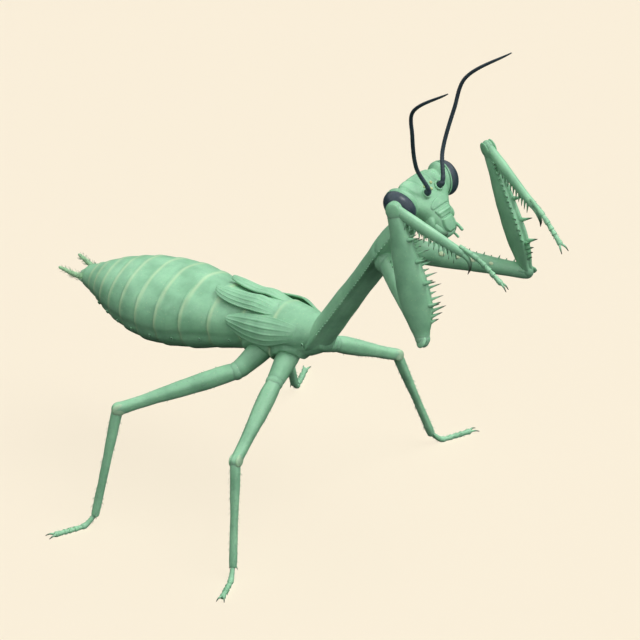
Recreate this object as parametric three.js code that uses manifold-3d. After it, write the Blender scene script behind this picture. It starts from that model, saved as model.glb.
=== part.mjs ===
// A praying mantis, life-size: a late-stage green nymph of a large species, wingless but for its
// four wing pads, standing on its four walking legs with the prothorax raised and both grasping
// legs half open. Millimetres, +Z up. It faces -Y, its left side is +X, and it stands on z = 0.
import * as THREE from "three";
import { mergeVertices } from "three/addons/utils/BufferGeometryUtils.js";
import Module from "manifold-3d";

const wasm = await Module();
wasm.setup();
const { Manifold, Mesh: SolidMesh } = wasm;
const { degToRad, lerp } = THREE.MathUtils;

// ---------------------------------------------------------------- driving dimensions
const GAP = 0.3; // between neighbouring sub-parts
// The trunk's middle line, as [y, z].
const TRUNK = { front: [3.0, 31.0], waist: [15, 29.1], middle: [32, 27.2], tip: [48.6, 26.0] };
const TRUNK_ENDS = [1.2, 1.3]; // how far its two ends are rounded out
const WAIST_T = 0.3; // where the thorax ends, as a share of the trunk
const ABDOMEN_SEGMENTS = 10;
const PROTHORAX = { length: 31.5, rise: 57, base: [3.6, 30.8], overrun: 1.6 }; // base: its hinge
const NECK = { length: 2.4, radius: 1.6 };
const HEAD = { top: 4.3, bottom: 6.0, backAtNeck: 2.5, tilt: 45 }; // tilt of the face below level
const EYE = { across: 2.0, deep: 2.3, tall: 2.85, x: 5.75, up: 1.7, front: 0.1, lean: 17 };
const OCELLI = { radius: 0.34, places: [[0, 1.3], [0.8, 2.15], [-0.8, 2.15]] }; // [x, up] on the face
const ANTENNA = { x: 1.6, up: 1.1, root: 0.55, thread: 0.36, end: 0.26, tip: 0.14 };
const PALP = { radius: 0.29 };
const CERCUS = { length: 5, radius: 0.62 };
const FORELEG = { coxa: 19.5, femur: 21.5, tibia: 12.5, tarsus: 8.5, shoulder: 0.74 };
const TOE = { radius: 0.5, soleHeight: 0.33 };
const THORN = { radius: 0.3, sunk: 0.6, sides: 5 };

// The stance: directions as [outwards, backwards, upwards], and joints as [outwards, back, height].
const COXA_LINE = [0.58, -0.79, -0.2];
const FEMUR_LINE = [-0.06, 0.31, 0.948];
const TIBIA_LINE = [-0.235, -0.866, -0.437];
const ANTENNA_ROUTE = [[3.4, -16.9, 68.5], [5.4, -17.6, 75.2], [6.8, -18.9, 80.6], [8.2, -26.4, 86.6]];
const MID_LEG = {
  girth: 1.15,
  hip: [2.2, 8.2, 27.0],
  coxaEnd: [7.4, 7.2, 24.6],
  knee: [21, 4.7, 17.2],
  ankle: [25.8, 1.6, 2.0],
  sole: [27.6, 0.7],
  toe: [32.2, -1.2],
};
const HIND_LEG = {
  girth: 1.2,
  hip: [2.4, 12.6, 27.0],
  coxaEnd: [7.6, 14.2, 24.2],
  knee: [20.8, 27.8, 18.6],
  ankle: [25.8, 28.4, 2.0],
  sole: [27.6, 29.2],
  toe: [32.4, 31.2],
};

const green = new THREE.MeshStandardMaterial({ color: 0x8fc79e, roughness: 0.55 });
const darkGreen = new THREE.MeshStandardMaterial({ color: 0x7fb890, roughness: 0.6 });
const slate = new THREE.MeshStandardMaterial({ color: 0x2b3642, roughness: 0.25 });
const slateThread = new THREE.MeshStandardMaterial({ color: 0x26343f, roughness: 0.6 });

const mantis = new THREE.Group();
const SIDES = [["left", 1], ["right", -1]];
const V = (x, y, z) => new THREE.Vector3(x, y, z);
const sided = ([x, y, z], side) => V(x * side, y, z);
const lineOf = (from, to) => to.clone().sub(from).normalize();
const round = (t, radius) => [t, radius, radius, radius];
const evenly = (count) => Array.from({ length: count }, (_, i) => i / (count - 1));
const between = (low, high, count) => evenly(count).map((share) => lerp(low, high, share));

// A point some way along each of several directions, given as direction, distance pairs.
function beyond(from, ...steps) {
  const place = from.clone();
  for (let i = 0; i < steps.length; i += 2) place.addScaledVector(steps[i], steps[i + 1]);
  return place;
}

// The same small numbers in every run, for the unevenness of grown things.
function seeded(seed) {
  let state = seed;
  return () => {
    state = (state * 16807) % 2147483647;
    return state / 2147483647;
  };
}

// ---------------------------------------------------------------- solids
// A closed geometry as a solid, with its faces turned outwards.
function solid(geometry) {
  const bare = new THREE.BufferGeometry().setAttribute("position", geometry.getAttribute("position"));
  bare.setIndex(geometry.index);
  const merged = mergeVertices(bare, 1e-4);
  const vertProperties = merged.attributes.position.array;
  const triVerts = new Uint32Array(merged.index.array);
  const made = new Manifold(new SolidMesh({ numProp: 3, vertProperties, triVerts }));
  if (made.volume() > 0) return made;
  return new Manifold(new SolidMesh({ numProp: 3, vertProperties, triVerts: triVerts.reverse() }));
}

// Adds the largest body of a solid to the mantis, as a named mesh.
function addNode(name, made, material) {
  const [largest] = made.decompose().sort((a, b) => b.volume() - a.volume());
  const { vertProperties, triVerts } = largest.getMesh();
  const geometry = new THREE.BufferGeometry();
  geometry.setAttribute("position", new THREE.BufferAttribute(vertProperties, 3));
  geometry.setIndex(new THREE.BufferAttribute(triVerts, 1));
  const node = new THREE.Mesh(geometry, material);
  node.name = name;
  mantis.add(node);
}

// A smooth reading of rows of [t, size, size, ...].
function smoothRows(rows) {
  const values = rows.flatMap((row) => row.slice(1));
  const curve = new THREE.CubicInterpolant(rows.map((row) => row[0]), values, rows[0].length - 1);
  return (t) => [...curve.evaluate(t)];
}

// The rings that close one end of a form as a dome.
const CAP_ANGLES = [82, 55, 28].map(degToRad);
const domeRings = (t, bulge, way) =>
  CAP_ANGLES.map((angle) => ({ t, push: way * bulge * Math.sin(angle), scale: Math.cos(angle) }));

// A cylinder bent along a path. rows hold [t, half width, height over the line, depth under it]; up
// points to the form's upper side. bulge rounds the two ends, grow swells the form all over, power
// squares (over 2) or sharpens (under 2) its section, and eave narrows the part under its widest
// line. relief(t, across, upwards) raises or sinks the surface, as a factor.
function loft({ path, up, rows, at = evenly(9), sides = 12, bulge = [0, 0], ...shape }) {
  const { grow = 0, power = 2, eave = 1, relief = () => 1 } = shape;
  const sizes = smoothRows(rows);
  const rings = [
    ...(bulge[0] ? domeRings(0, bulge[0] + grow, -1) : [{ t: 0, push: -grow, scale: 1 }]),
    ...at.filter((t) => t > 0 && t < 1).map((t) => ({ t, push: 0, scale: 1 })),
    ...(bulge[1] ? domeRings(1, bulge[1] + grow, 1).reverse() : [{ t: 1, push: grow, scale: 1 }]),
  ];
  const form = new THREE.CylinderGeometry(1, 1, 1, sides, rings.length - 1);
  const spot = form.getAttribute("position");
  const squared = (share) => Math.sign(share) * Math.abs(share) ** (2 / power);
  for (let i = 0; i < spot.count; i += 1) {
    const { t, push, scale } = rings[Math.round((0.5 - spot.getY(i)) * (rings.length - 1))];
    const along = path.getTangentAt(t);
    const above = beyond(up, along, -up.dot(along)).normalize();
    const aside = new THREE.Vector3().crossVectors(along, above);
    const across = spot.getX(i);
    const upwards = Math.abs(spot.getZ(i)) < 1e-6 ? 0 : spot.getZ(i);
    const lift = scale * relief(t, across, upwards);
    const [width, over, under] = sizes(t).map((size) => (size + grow) * lift);
    const sideways = squared(across) * width * (upwards < 0 ? eave : 1);
    const place = beyond(path.getPointAt(t), along, push, aside, sideways);
    place.addScaledVector(above, squared(upwards) * (upwards < 0 ? under : over));
    spot.setXYZ(i, place.x, place.y, place.z);
  }
  return solid(form);
}

// Parts two solids that meet at a joint by the plane that halves the bend, a gap apart.
function mitre(before, after, joint, lineIn, lineOut) {
  const normal = lineIn.clone().add(lineOut).normalize();
  const offset = normal.dot(joint);
  return [
    before.trimByPlane(normal.clone().negate().toArray(), GAP / 2 - offset),
    after.trimByPlane(normal.toArray(), GAP / 2 + offset),
  ];
}

// A thorn on a surface, its root sunk in.
function thorn(root, direction, length, radius = THORN.radius) {
  const cone = new THREE.ConeGeometry(radius, length + THORN.sunk, THORN.sides);
  cone.translate(0, (length - THORN.sunk) / 2, 0);
  const turn = new THREE.Quaternion().setFromUnitVectors(V(0, 1, 0), direction.clone().normalize());
  return solid(cone.applyQuaternion(turn).translate(root.x, root.y, root.z));
}

// A tapering hook along a bent line, for claws.
const HOOK_TIP = 0.09;
function hook(points, radius, rings, sides) {
  return loft({
    path: new THREE.CatmullRomCurve3(points),
    up: V(0.3, 0.5, 1),
    rows: [round(0, radius), round(0.5, radius * 0.75), round(1, HOOK_TIP)],
    at: evenly(rings),
    sides,
  });
}

// ---------------------------------------------------------------- trunk: thorax and abdomen
const trunkPath = new THREE.CatmullRomCurve3(
  [TRUNK.front, TRUNK.waist, TRUNK.middle, TRUNK.tip].map(([y, z]) => V(0, y, z)),
);
const trunkRows = [
  [0, 2.9, 2.6, 3.0],
  [0.06, 4.0, 3.4, 3.9],
  [0.16, 5.1, 4.2, 4.9],
  [0.25, 5.1, 4.3, 4.8],
  [0.31, 4.9, 4.2, 4.5],
  [0.42, 6.2, 5.0, 5.2],
  [0.54, 7.9, 5.9, 6.1],
  [0.64, 8.4, 6.1, 6.4],
  [0.75, 7.7, 5.7, 5.9],
  [0.86, 5.7, 4.5, 4.5],
  [0.95, 3.4, 2.9, 2.7],
  [1, 2.2, 2.0, 1.7],
];
const trunkSizes = smoothRows(trunkRows);
const trunkForm = { path: trunkPath, up: V(0, 0, 1), rows: trunkRows, power: 2.1, sides: 24 };
const TRUNK_CLEARANCE = GAP + 0.05; // what meets the trunk keeps a little over the gap from its facets
const trunkGrown = loft({ ...trunkForm, at: evenly(28), bulge: TRUNK_ENDS, grow: TRUNK_CLEARANCE });

// Where each ring of the abdomen begins: its segments shorten towards the tip.
const SEGMENT_SHORTENING = 0.038;
const SEGMENT_STARTS = Array.from({ length: ABDOMEN_SEGMENTS + 1 }, (_, i) => {
  const share = (n) => n * (1 - SEGMENT_SHORTENING * n);
  return lerp(WAIST_T, 1, share(i) / share(ABDOMEN_SEGMENTS));
});
const SEGMENT_LIP = 0.032; // how far a segment's hind edge stands over the next one, as a share
const STEP = 0.0025; // half the length of the step down behind that edge, as a share of the trunk

// 0 at a segment's front edge and 1 at its hind edge.
function shareOfSegment(t) {
  const i = SEGMENT_STARTS.findIndex((start, n) => t >= start && t <= SEGMENT_STARTS[n + 1]);
  return i < 0 ? 1 : (t - SEGMENT_STARTS[i]) / (SEGMENT_STARTS[i + 1] - SEGMENT_STARTS[i]);
}

function abdomenWhole() {
  const rings = SEGMENT_STARTS.slice(0, -1).flatMap((start, i) => {
    const end = SEGMENT_STARTS[i + 1];
    return [start + STEP, (start + end) / 2, end - STEP];
  });
  return loft({
    ...trunkForm,
    at: [WAIST_T - 0.05, ...rings],
    bulge: [0, TRUNK_ENDS[1]],
    relief: (t) => 1 + SEGMENT_LIP * (shareOfSegment(t) - 0.5),
  });
}

// The plate over the mid legs ends at PLATE_EDGE, and the one behind it begins lower, up to PLATE_RISE.
const PLATE_EDGE = 0.17;
const PLATE_RISE = 0.2;
const PLATE_DROP = 0.05;
function thoraxWhole() {
  return loft({
    ...trunkForm,
    sides: 20,
    at: [0.03, 0.06, 0.1, 0.14, PLATE_EDGE - STEP, PLATE_EDGE + STEP, 0.21, 0.25, 0.29, 0.4],
    bulge: [TRUNK_ENDS[0], 0],
    relief: (t, across, upwards) =>
      upwards > 0.2 && t > PLATE_EDGE && t < PLATE_RISE ? 1 - PLATE_DROP : 1,
  });
}
const waist = trunkPath.getPointAt(WAIST_T);
const waistLine = trunkPath.getTangentAt(WAIST_T);
const [thorax, abdomen] = mitre(thoraxWhole(), abdomenWhole(), waist, waistLine, waistLine);
addNode("abdomen", abdomen, green);
addNode("thorax", thorax, green);

// ---------------------------------------------------------------- prothorax
const rise = degToRad(PROTHORAX.rise);
const forward = V(0, -Math.cos(rise), Math.sin(rise)); // along the prothorax, towards the head
const dorsal = V(0, Math.sin(rise), Math.cos(rise)); // out of its back
const hinge = V(0, ...PROTHORAX.base);
const onProthorax = (share, high = 0) => beyond(hinge, forward, PROTHORAX.length * share, dorsal, high);
const prothoraxForm = {
  path: new THREE.LineCurve3(beyond(hinge, forward, -PROTHORAX.overrun), onProthorax(1)),
  up: dorsal,
  rows: [
    [0, 3.5, 2.1, 2.5],
    [0.2, 3.2, 2.1, 2.4],
    [0.45, 3.0, 2.0, 2.2],
    [0.64, 3.4, 2.0, 2.35],
    [0.77, 4.2, 2.2, 2.65],
    [0.88, 3.6, 2.0, 2.4],
    [0.96, 2.75, 1.6, 1.9],
    [1, 2.2, 1.3, 1.6],
  ],
  sides: 20,
  power: 1.8,
  eave: 0.86,
  bulge: [0, 0.6],
};
const SULCUS = { t: 0.785, half: 0.012, depth: 0.08 }; // the cross furrow over the coxae
const KEEL_HEIGHT = 0.09;
const sulcusRings = [SULCUS.t - SULCUS.half, SULCUS.t, SULCUS.t + SULCUS.half];
const prothorax = loft({
  ...prothoraxForm,
  at: [...between(0.06, 0.74, 12), ...sulcusRings, 0.84, 0.89, 0.94, 0.975],
  relief: (t, across, upwards) =>
    (upwards > 0.9 ? 1 + KEEL_HEIGHT : 1) * (upwards > 0 && t === SULCUS.t ? 1 - SULCUS.depth : 1),
});
const prothoraxGrown = loft({ ...prothoraxForm, at: evenly(16), grow: GAP });
addNode("prothorax", prothorax.subtract(trunkGrown), green);

// ---------------------------------------------------------------- head
const tilt = degToRad(HEAD.tilt);
const faceUp = V(0, Math.cos(tilt), Math.sin(tilt)); // from mouth to crown
const faceOut = V(0, -Math.sin(tilt), Math.cos(tilt)); // out of the face
const rightwards = V(1, 0, 0);
const headCentre = beyond(onProthorax(1), forward, NECK.length, faceOut, HEAD.backAtNeck);
const onHead = (x, up, out) => beyond(headCentre, rightwards, x, faceUp, up, faceOut, out);
const headForm = {
  path: new THREE.LineCurve3(onHead(0, HEAD.top, 0), onHead(0, -HEAD.bottom, 0)),
  up: faceOut,
  rows: [
    [0, 3.5, 0.8, 0.8],
    [0.06, 4.9, 1.5, 1.6],
    [0.18, 5.5, 2.0, 2.4],
    [0.32, 5.3, 2.25, 2.8],
    [0.46, 4.3, 2.25, 2.8],
    [0.6, 3.15, 2.05, 2.5],
    [0.73, 2.35, 1.7, 1.9],
    [0.86, 1.8, 1.3, 1.4],
    [1, 1.35, 0.75, 0.95],
  ],
  sides: 20,
  at: evenly(13),
  bulge: [0.35, 0.4],
  power: 2.25,
};
const headGrown = loft({ ...headForm, grow: GAP });

// An ellipsoid set in the head's own directions.
function headBall([across, tall, deep], [x, up, out], lean, segments) {
  const ball = new THREE.SphereGeometry(1, ...segments).scale(across, tall, deep).rotateZ(-lean);
  const turn = new THREE.Matrix4().makeBasis(rightwards, faceUp, faceOut);
  return solid(ball.applyMatrix4(turn.setPosition(onHead(x, up, out))));
}

const FACE_BALL = [10, 7];
const EYE_BALL = [16, 11];
const OCELLUS_BALL = [7, 5];
const MANDIBLE = { size: [0.9, 1.65, 1.25], x: 1.45, up: -4.15, out: -0.3, lean: 0.2 };
const faceForms = [
  headBall([2.05, 1.1, 0.45], [0, -0.95, 2.0], 0, FACE_BALL), // frontal shield
  headBall([1.45, 1.35, 0.55], [0, -4.75, 0.9], 0, FACE_BALL), // upper lip
];
for (const [, side] of SIDES) {
  const { size, x, up, out, lean } = MANDIBLE;
  faceForms.push(headBall(size, [x * side, up, out], lean * side, FACE_BALL));
}
// The three small eyes sit on the forehead, half sunk in it.
const faceSizes = smoothRows(headForm.rows);
for (const [x, up] of OCELLI.places) {
  const [, over] = faceSizes((HEAD.top - up) / (HEAD.top + HEAD.bottom));
  faceForms.push(headBall(Array(3).fill(OCELLI.radius), [x, up, over], 0, OCELLUS_BALL));
}
const eyeSockets = [];
for (const [word, side] of SIDES) {
  const { across, tall, deep, x, up, front } = EYE;
  const lean = degToRad(EYE.lean) * side;
  addNode(`eye_${word}`, headBall([across, tall, deep], [x * side, up, front], lean, EYE_BALL), slate);
  const socket = [across, tall, deep].map((radius) => radius + GAP);
  eyeSockets.push(headBall(socket, [x * side, up, front], lean, EYE_BALL));
}
const capsule = Manifold.union([loft(headForm), ...faceForms]);
addNode("head", Manifold.difference([capsule, ...eyeSockets]), green);

const neckMiddle = beyond(onProthorax(1), forward, NECK.length / 2);
const neck = loft({
  path: new THREE.CatmullRomCurve3([onProthorax(0.97), neckMiddle, onHead(0, 0, -1)]),
  up: dorsal,
  rows: [0, 0.5, 1].map((t) => round(t, NECK.radius * (t === 0.5 ? 0.9 : 1))),
});
addNode("neck", Manifold.difference([neck, headGrown, prothoraxGrown]), darkGreen);

// ---------------------------------------------------------------- antennae, palps and cerci
function antenna(side) {
  const { x, up, root, thread, end, tip } = ANTENNA;
  const base = [onHead(x * side, up, 1.6), onHead(x * side * 1.15, up + 0.25, 3.4)];
  return loft({
    path: new THREE.CatmullRomCurve3([...base, ...ANTENNA_ROUTE.map((point) => sided(point, side))]),
    up: V(side, 0, 0.2),
    rows: [round(0, root), round(0.07, root), round(0.11, thread), round(0.9, end), round(1, tip)],
    at: evenly(29),
    sides: 6,
  }).subtract(headGrown);
}

function palp(side) {
  const route = [[1.8, -2.9, -1.2], [2.75, -3.7, -1.3], [3.0, -5.2, -0.6], [2.3, -6.5, 0.4]];
  return loft({
    path: new THREE.CatmullRomCurve3(route.map(([x, up, out]) => onHead(x * side, up, out))),
    up: faceOut,
    rows: [round(0, PALP.radius), round(1, PALP.radius * 0.8)],
    at: evenly(9),
    sides: 6,
  }).subtract(headGrown);
}

function cercus(side) {
  const tail = trunkPath.getPointAt(0.985);
  const route = [[0.8, 0, 0.3], [1.9, 0.45 * CERCUS.length, 0.5], [2.5, CERCUS.length, 1.2]];
  return loft({
    path: new THREE.CatmullRomCurve3(route.map((step) => sided(step, side).add(tail))),
    up: V(0, 0, 1),
    rows: [round(0, CERCUS.radius), round(0.5, CERCUS.radius), round(1, CERCUS.radius * 0.35)],
    at: evenly(7),
    sides: 8,
  }).subtract(trunkGrown);
}

// ---------------------------------------------------------------- wing pads
// A leaf that lies on the trunk from share from to share to, between the angles low and high over
// level, with three veins raised along it.
const PAD_LIFT = GAP + 0.2;
const PAD_VEINS = 3;
const PAD_WIDEST = 0.3; // as a share of its length
const PAD_ROOT_TAPER = 0.25;
const PAD_TIP_TAPER = 0.96;
function wingPad(side, { from, to, low, high, thick }) {
  const leaf = new THREE.BoxGeometry(1, 1, 1, 6, 7, 1);
  const spot = leaf.getAttribute("position");
  for (let i = 0; i < spot.count; i += 1) {
    const along = spot.getY(i) + 0.5;
    const around = spot.getX(i) + 0.5;
    const taper =
      along < PAD_WIDEST
        ? 1 - PAD_ROOT_TAPER * (1 - along / PAD_WIDEST) ** 2
        : Math.sqrt(1 - PAD_TIP_TAPER * ((along - PAD_WIDEST) / (1 - PAD_WIDEST)) ** 2.2);
    const middle = lerp(low, high, 0.5 + 0.15 * along);
    const angle = degToRad(lerp(lerp(middle, low, taper), lerp(middle, high, taper), around));
    const t = lerp(from, to, along);
    const [width, over] = trunkSizes(t);
    const furrow = 1 - 0.3 * taper ** 2 * Math.abs(Math.sin(around * Math.PI * PAD_VEINS));
    const height = PAD_LIFT + (spot.getZ(i) > 0 ? thick * furrow : 0);
    const centre = trunkPath.getPointAt(t);
    const x = side * (width + height) * Math.cos(angle);
    spot.setXYZ(i, x, centre.y, centre.z + (over + height) * Math.sin(angle));
  }
  return solid(leaf);
}
const FORE_PAD = { from: 0.07, to: 0.34, low: -4, high: 47, thick: 0.6 };
const HIND_PAD = { from: 0.17, to: 0.43, low: 51, high: 86, thick: 0.6 };

for (const [word, side] of SIDES) {
  addNode(`antenna_${word}`, antenna(side), slateThread);
  addNode(`palp_${word}`, palp(side), green);
  addNode(`cercus_${word}`, cercus(side), darkGreen);
  addNode(`wing_pad_fore_${word}`, wingPad(side, FORE_PAD), green);
  addNode(`wing_pad_hind_${word}`, wingPad(side, HIND_PAD), green);
}

// ---------------------------------------------------------------- leg parts
// A straight leg part from one joint to the next, domed at both ends so that a mitre makes a knuckle.
function shaft(from, to, up, rows, options) {
  const bulge = [rows[0], rows[rows.length - 1]].map(([, , over, under]) => (over + under) / 2);
  return loft({ path: new THREE.LineCurve3(from, to), up, rows, bulge, sides: 10, ...options });
}

// A foot of five joints that widen towards their ends, with two claws.
const TOE_JOINTS = [0, 0.4, 0.57, 0.7, 0.8, 1]; // where the joints part, as shares of the foot
const TOE_STEP = 0.012; // half the length of the step between two joints
const TOE_WAIST = 0.78; // how much narrower a joint begins than it ends
const CLAW = { radius: 0.24, sunk: 0.4, bend: [0.7, 0.45, 0.12], tip: [1.45, 0.62, -0.1] };
function foot(points, up, radius, outwards) {
  const path = new THREE.CatmullRomCurve3(points);
  const rows = TOE_JOINTS.slice(0, -1).flatMap((start, i) => [
    round(start + TOE_STEP, radius * TOE_WAIST),
    round(TOE_JOINTS[i + 1] - TOE_STEP, radius),
  ]);
  const at = [0.2, ...rows.map((row) => row[0])].sort((a, b) => a - b);
  const body = loft({ path, up, rows, at, sides: 8, bulge: [0, radius * 0.5] });
  const end = path.getPointAt(1);
  const line = path.getTangentAt(1);
  const claws = [1, -1].map((way) => {
    const onClaw = ([along, aside, lift]) => beyond(end, line, along, outwards, aside * way, up, lift);
    return hook([onClaw([-CLAW.sunk, 0, 0]), onClaw(CLAW.bend), onClaw(CLAW.tip)], CLAW.radius, 3, 5);
  });
  return Manifold.union([body, ...claws]);
}

// ---------------------------------------------------------------- walking legs
// Radii along a walking leg's parts, as multiples of its girth.
const WALKING_ROWS = {
  coxa: [[0, 1.62], [0.3, 1.55], [1, 1.2]],
  femur: [[0, 1.22], [0.25, 1.2], [0.75, 0.86], [1, 0.9]],
  tibia: [[0, 0.74], [0.3, 0.66], [0.75, 0.55], [1, 0.58]],
};

function walkingLeg(kind, word, side, { girth, hip, coxaEnd, knee, ankle, sole, toe }) {
  const [hipAt, coxaAt, kneeAt, ankleAt] = [hip, coxaEnd, knee, ankle].map((point) => sided(point, side));
  const coxaLine = lineOf(hipAt, coxaAt);
  const femurLine = lineOf(coxaAt, kneeAt);
  const tibiaLine = lineOf(kneeAt, ankleAt);
  const [soleAt, toeAt] = [sole, toe].map(([x, y]) => V(x * side, y, TOE.soleHeight));
  const footPoints = [ankleAt, beyond(ankleAt, tibiaLine, 0.5).lerp(soleAt, 0.45), soleAt, toeAt];
  const footLine = lineOf(footPoints[0], footPoints[1]);
  const acrossFoot = new THREE.Vector3().crossVectors(V(0, 0, 1), lineOf(soleAt, toeAt));
  const rows = (part) => WALKING_ROWS[part].map(([t, share]) => round(t, share * girth));
  const up = V(0, 0, 1);
  const parts = [
    shaft(hipAt, coxaAt, up, rows("coxa"), { at: evenly(5) }),
    shaft(coxaAt, kneeAt, up, rows("femur"), { at: evenly(6) }),
    shaft(kneeAt, ankleAt, V(side, 0, 0.2), rows("tibia"), { at: evenly(6) }),
    foot(footPoints, V(0.35 * side, 0, 1), TOE.radius, acrossFoot).trimByPlane([0, 0, 1], 0),
  ];
  [parts[0], parts[1]] = mitre(parts[0], parts[1], coxaAt, coxaLine, femurLine);
  [parts[1], parts[2]] = mitre(parts[1], parts[2], kneeAt, femurLine, tibiaLine);
  [parts[2], parts[3]] = mitre(parts[2], parts[3], ankleAt, tibiaLine, footLine);
  addNode(`${kind}_coxa_${word}`, parts[0].subtract(trunkGrown), green);
  addNode(`${kind}_femur_${word}`, parts[1], green);
  addNode(`${kind}_tibia_${word}`, parts[2], green);
  addNode(`${kind}_tarsus_${word}`, parts[3], darkGreen);
}

// ---------------------------------------------------------------- grasping legs
// Rows of [t, half width, height over the line, depth under it], from joint to joint.
const COXA_ROWS = [
  [0, 1.5, 1.9, 1.9],
  [0.2, 1.5, 1.9, 1.9],
  [0.6, 1.2, 1.5, 1.5],
  [1, 1.0, 1.15, 1.15],
];
const FEMUR_ROWS = [
  [0, 0.95, 1.05, 1.05],
  [0.1, 1.1, 1.5, 1.8],
  [0.22, 1.3, 2.1, 2.7],
  [0.38, 1.35, 2.3, 2.8],
  [0.62, 1.2, 1.95, 2.2],
  [0.86, 0.95, 1.35, 1.4],
  [1, 0.9, 1.2, 1.2],
];
const TIBIA_ROWS = [
  [0, 0.8, 1.0, 1.0],
  [0.12, 0.76, 0.9, 1.0],
  [0.6, 0.7, 0.8, 1.0],
  [1, 0.52, 0.58, 0.68],
];

// The rows of thorns of a grasping leg. from and to are shares of the part's length. aside is how far
// the roots lie inwards of its middle line, and lean the share of their direction [inwards, onwards].
const FEMUR_COMB = { count: 12, from: 0.3, to: 0.88, aside: 0.55, lean: [0.35, 0.12] };
const FEMUR_OUTER = { count: 4, from: 0.26, to: 0.76, aside: -0.6, lean: [-0.4, 0.15], radius: 0.38 };
const FEMUR_MIDDLE = { count: 4, from: 0.13, to: 0.25, aside: 0, lean: [0, 0.25], radius: 0.36 };
const TIBIA_INNER = { count: 11, from: 0.2, to: 0.93, aside: 0.38, lean: [0.35, 0.55], radius: 0.27 };
const TIBIA_OUTER = { count: 9, from: 0.22, to: 0.93, aside: -0.38, lean: [-0.35, 0.55], radius: 0.27 };
const COXA_FRONT = { count: 6, from: 0.3, to: 0.9, aside: 0, lean: [0, 0.2], radius: 0.28 };
const FEMUR_COMB_LENGTHS = [1.8, 1.0]; // long and short in turn
const FEMUR_MIDDLE_LENGTHS = [1.4, 2.0, 2.7, 1.7];
const FEMUR_OUTER_LENGTH = 2.1;
const TIBIA_LENGTHS = [0.7, 1.5]; // from the knee to the claw
const COXA_LENGTH = 0.6;
const THORN_SPREAD = 0.08; // how far their lengths vary, as a share
const TIBIA_CLAW = { radius: 0.55, sunk: 0.6, route: [[1.3, 0.35], [2.3, 1.35], [2.5, 2.5]] };

// A row of thorns on one side of a part. length(i, share) is each one's length.
function thornRow({ start, end, way, inwards, depth, random }, row, length) {
  const line = lineOf(start, end);
  return between(row.from, row.to, row.count).map((share, i) => {
    const root = start.clone().lerp(end, share);
    const direction = beyond(way, inwards, row.lean[0], line, row.lean[1]);
    const grown = length(i, share) * lerp(1 - THORN_SPREAD, 1 + THORN_SPREAD, random());
    return thorn(beyond(root, way, depth(share), inwards, row.aside), direction, grown, row.radius);
  });
}

// A unit vector square to a line, on the side that another direction points to.
const squareTo = (line, way) => beyond(way, line, -way.dot(line)).normalize();

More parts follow.
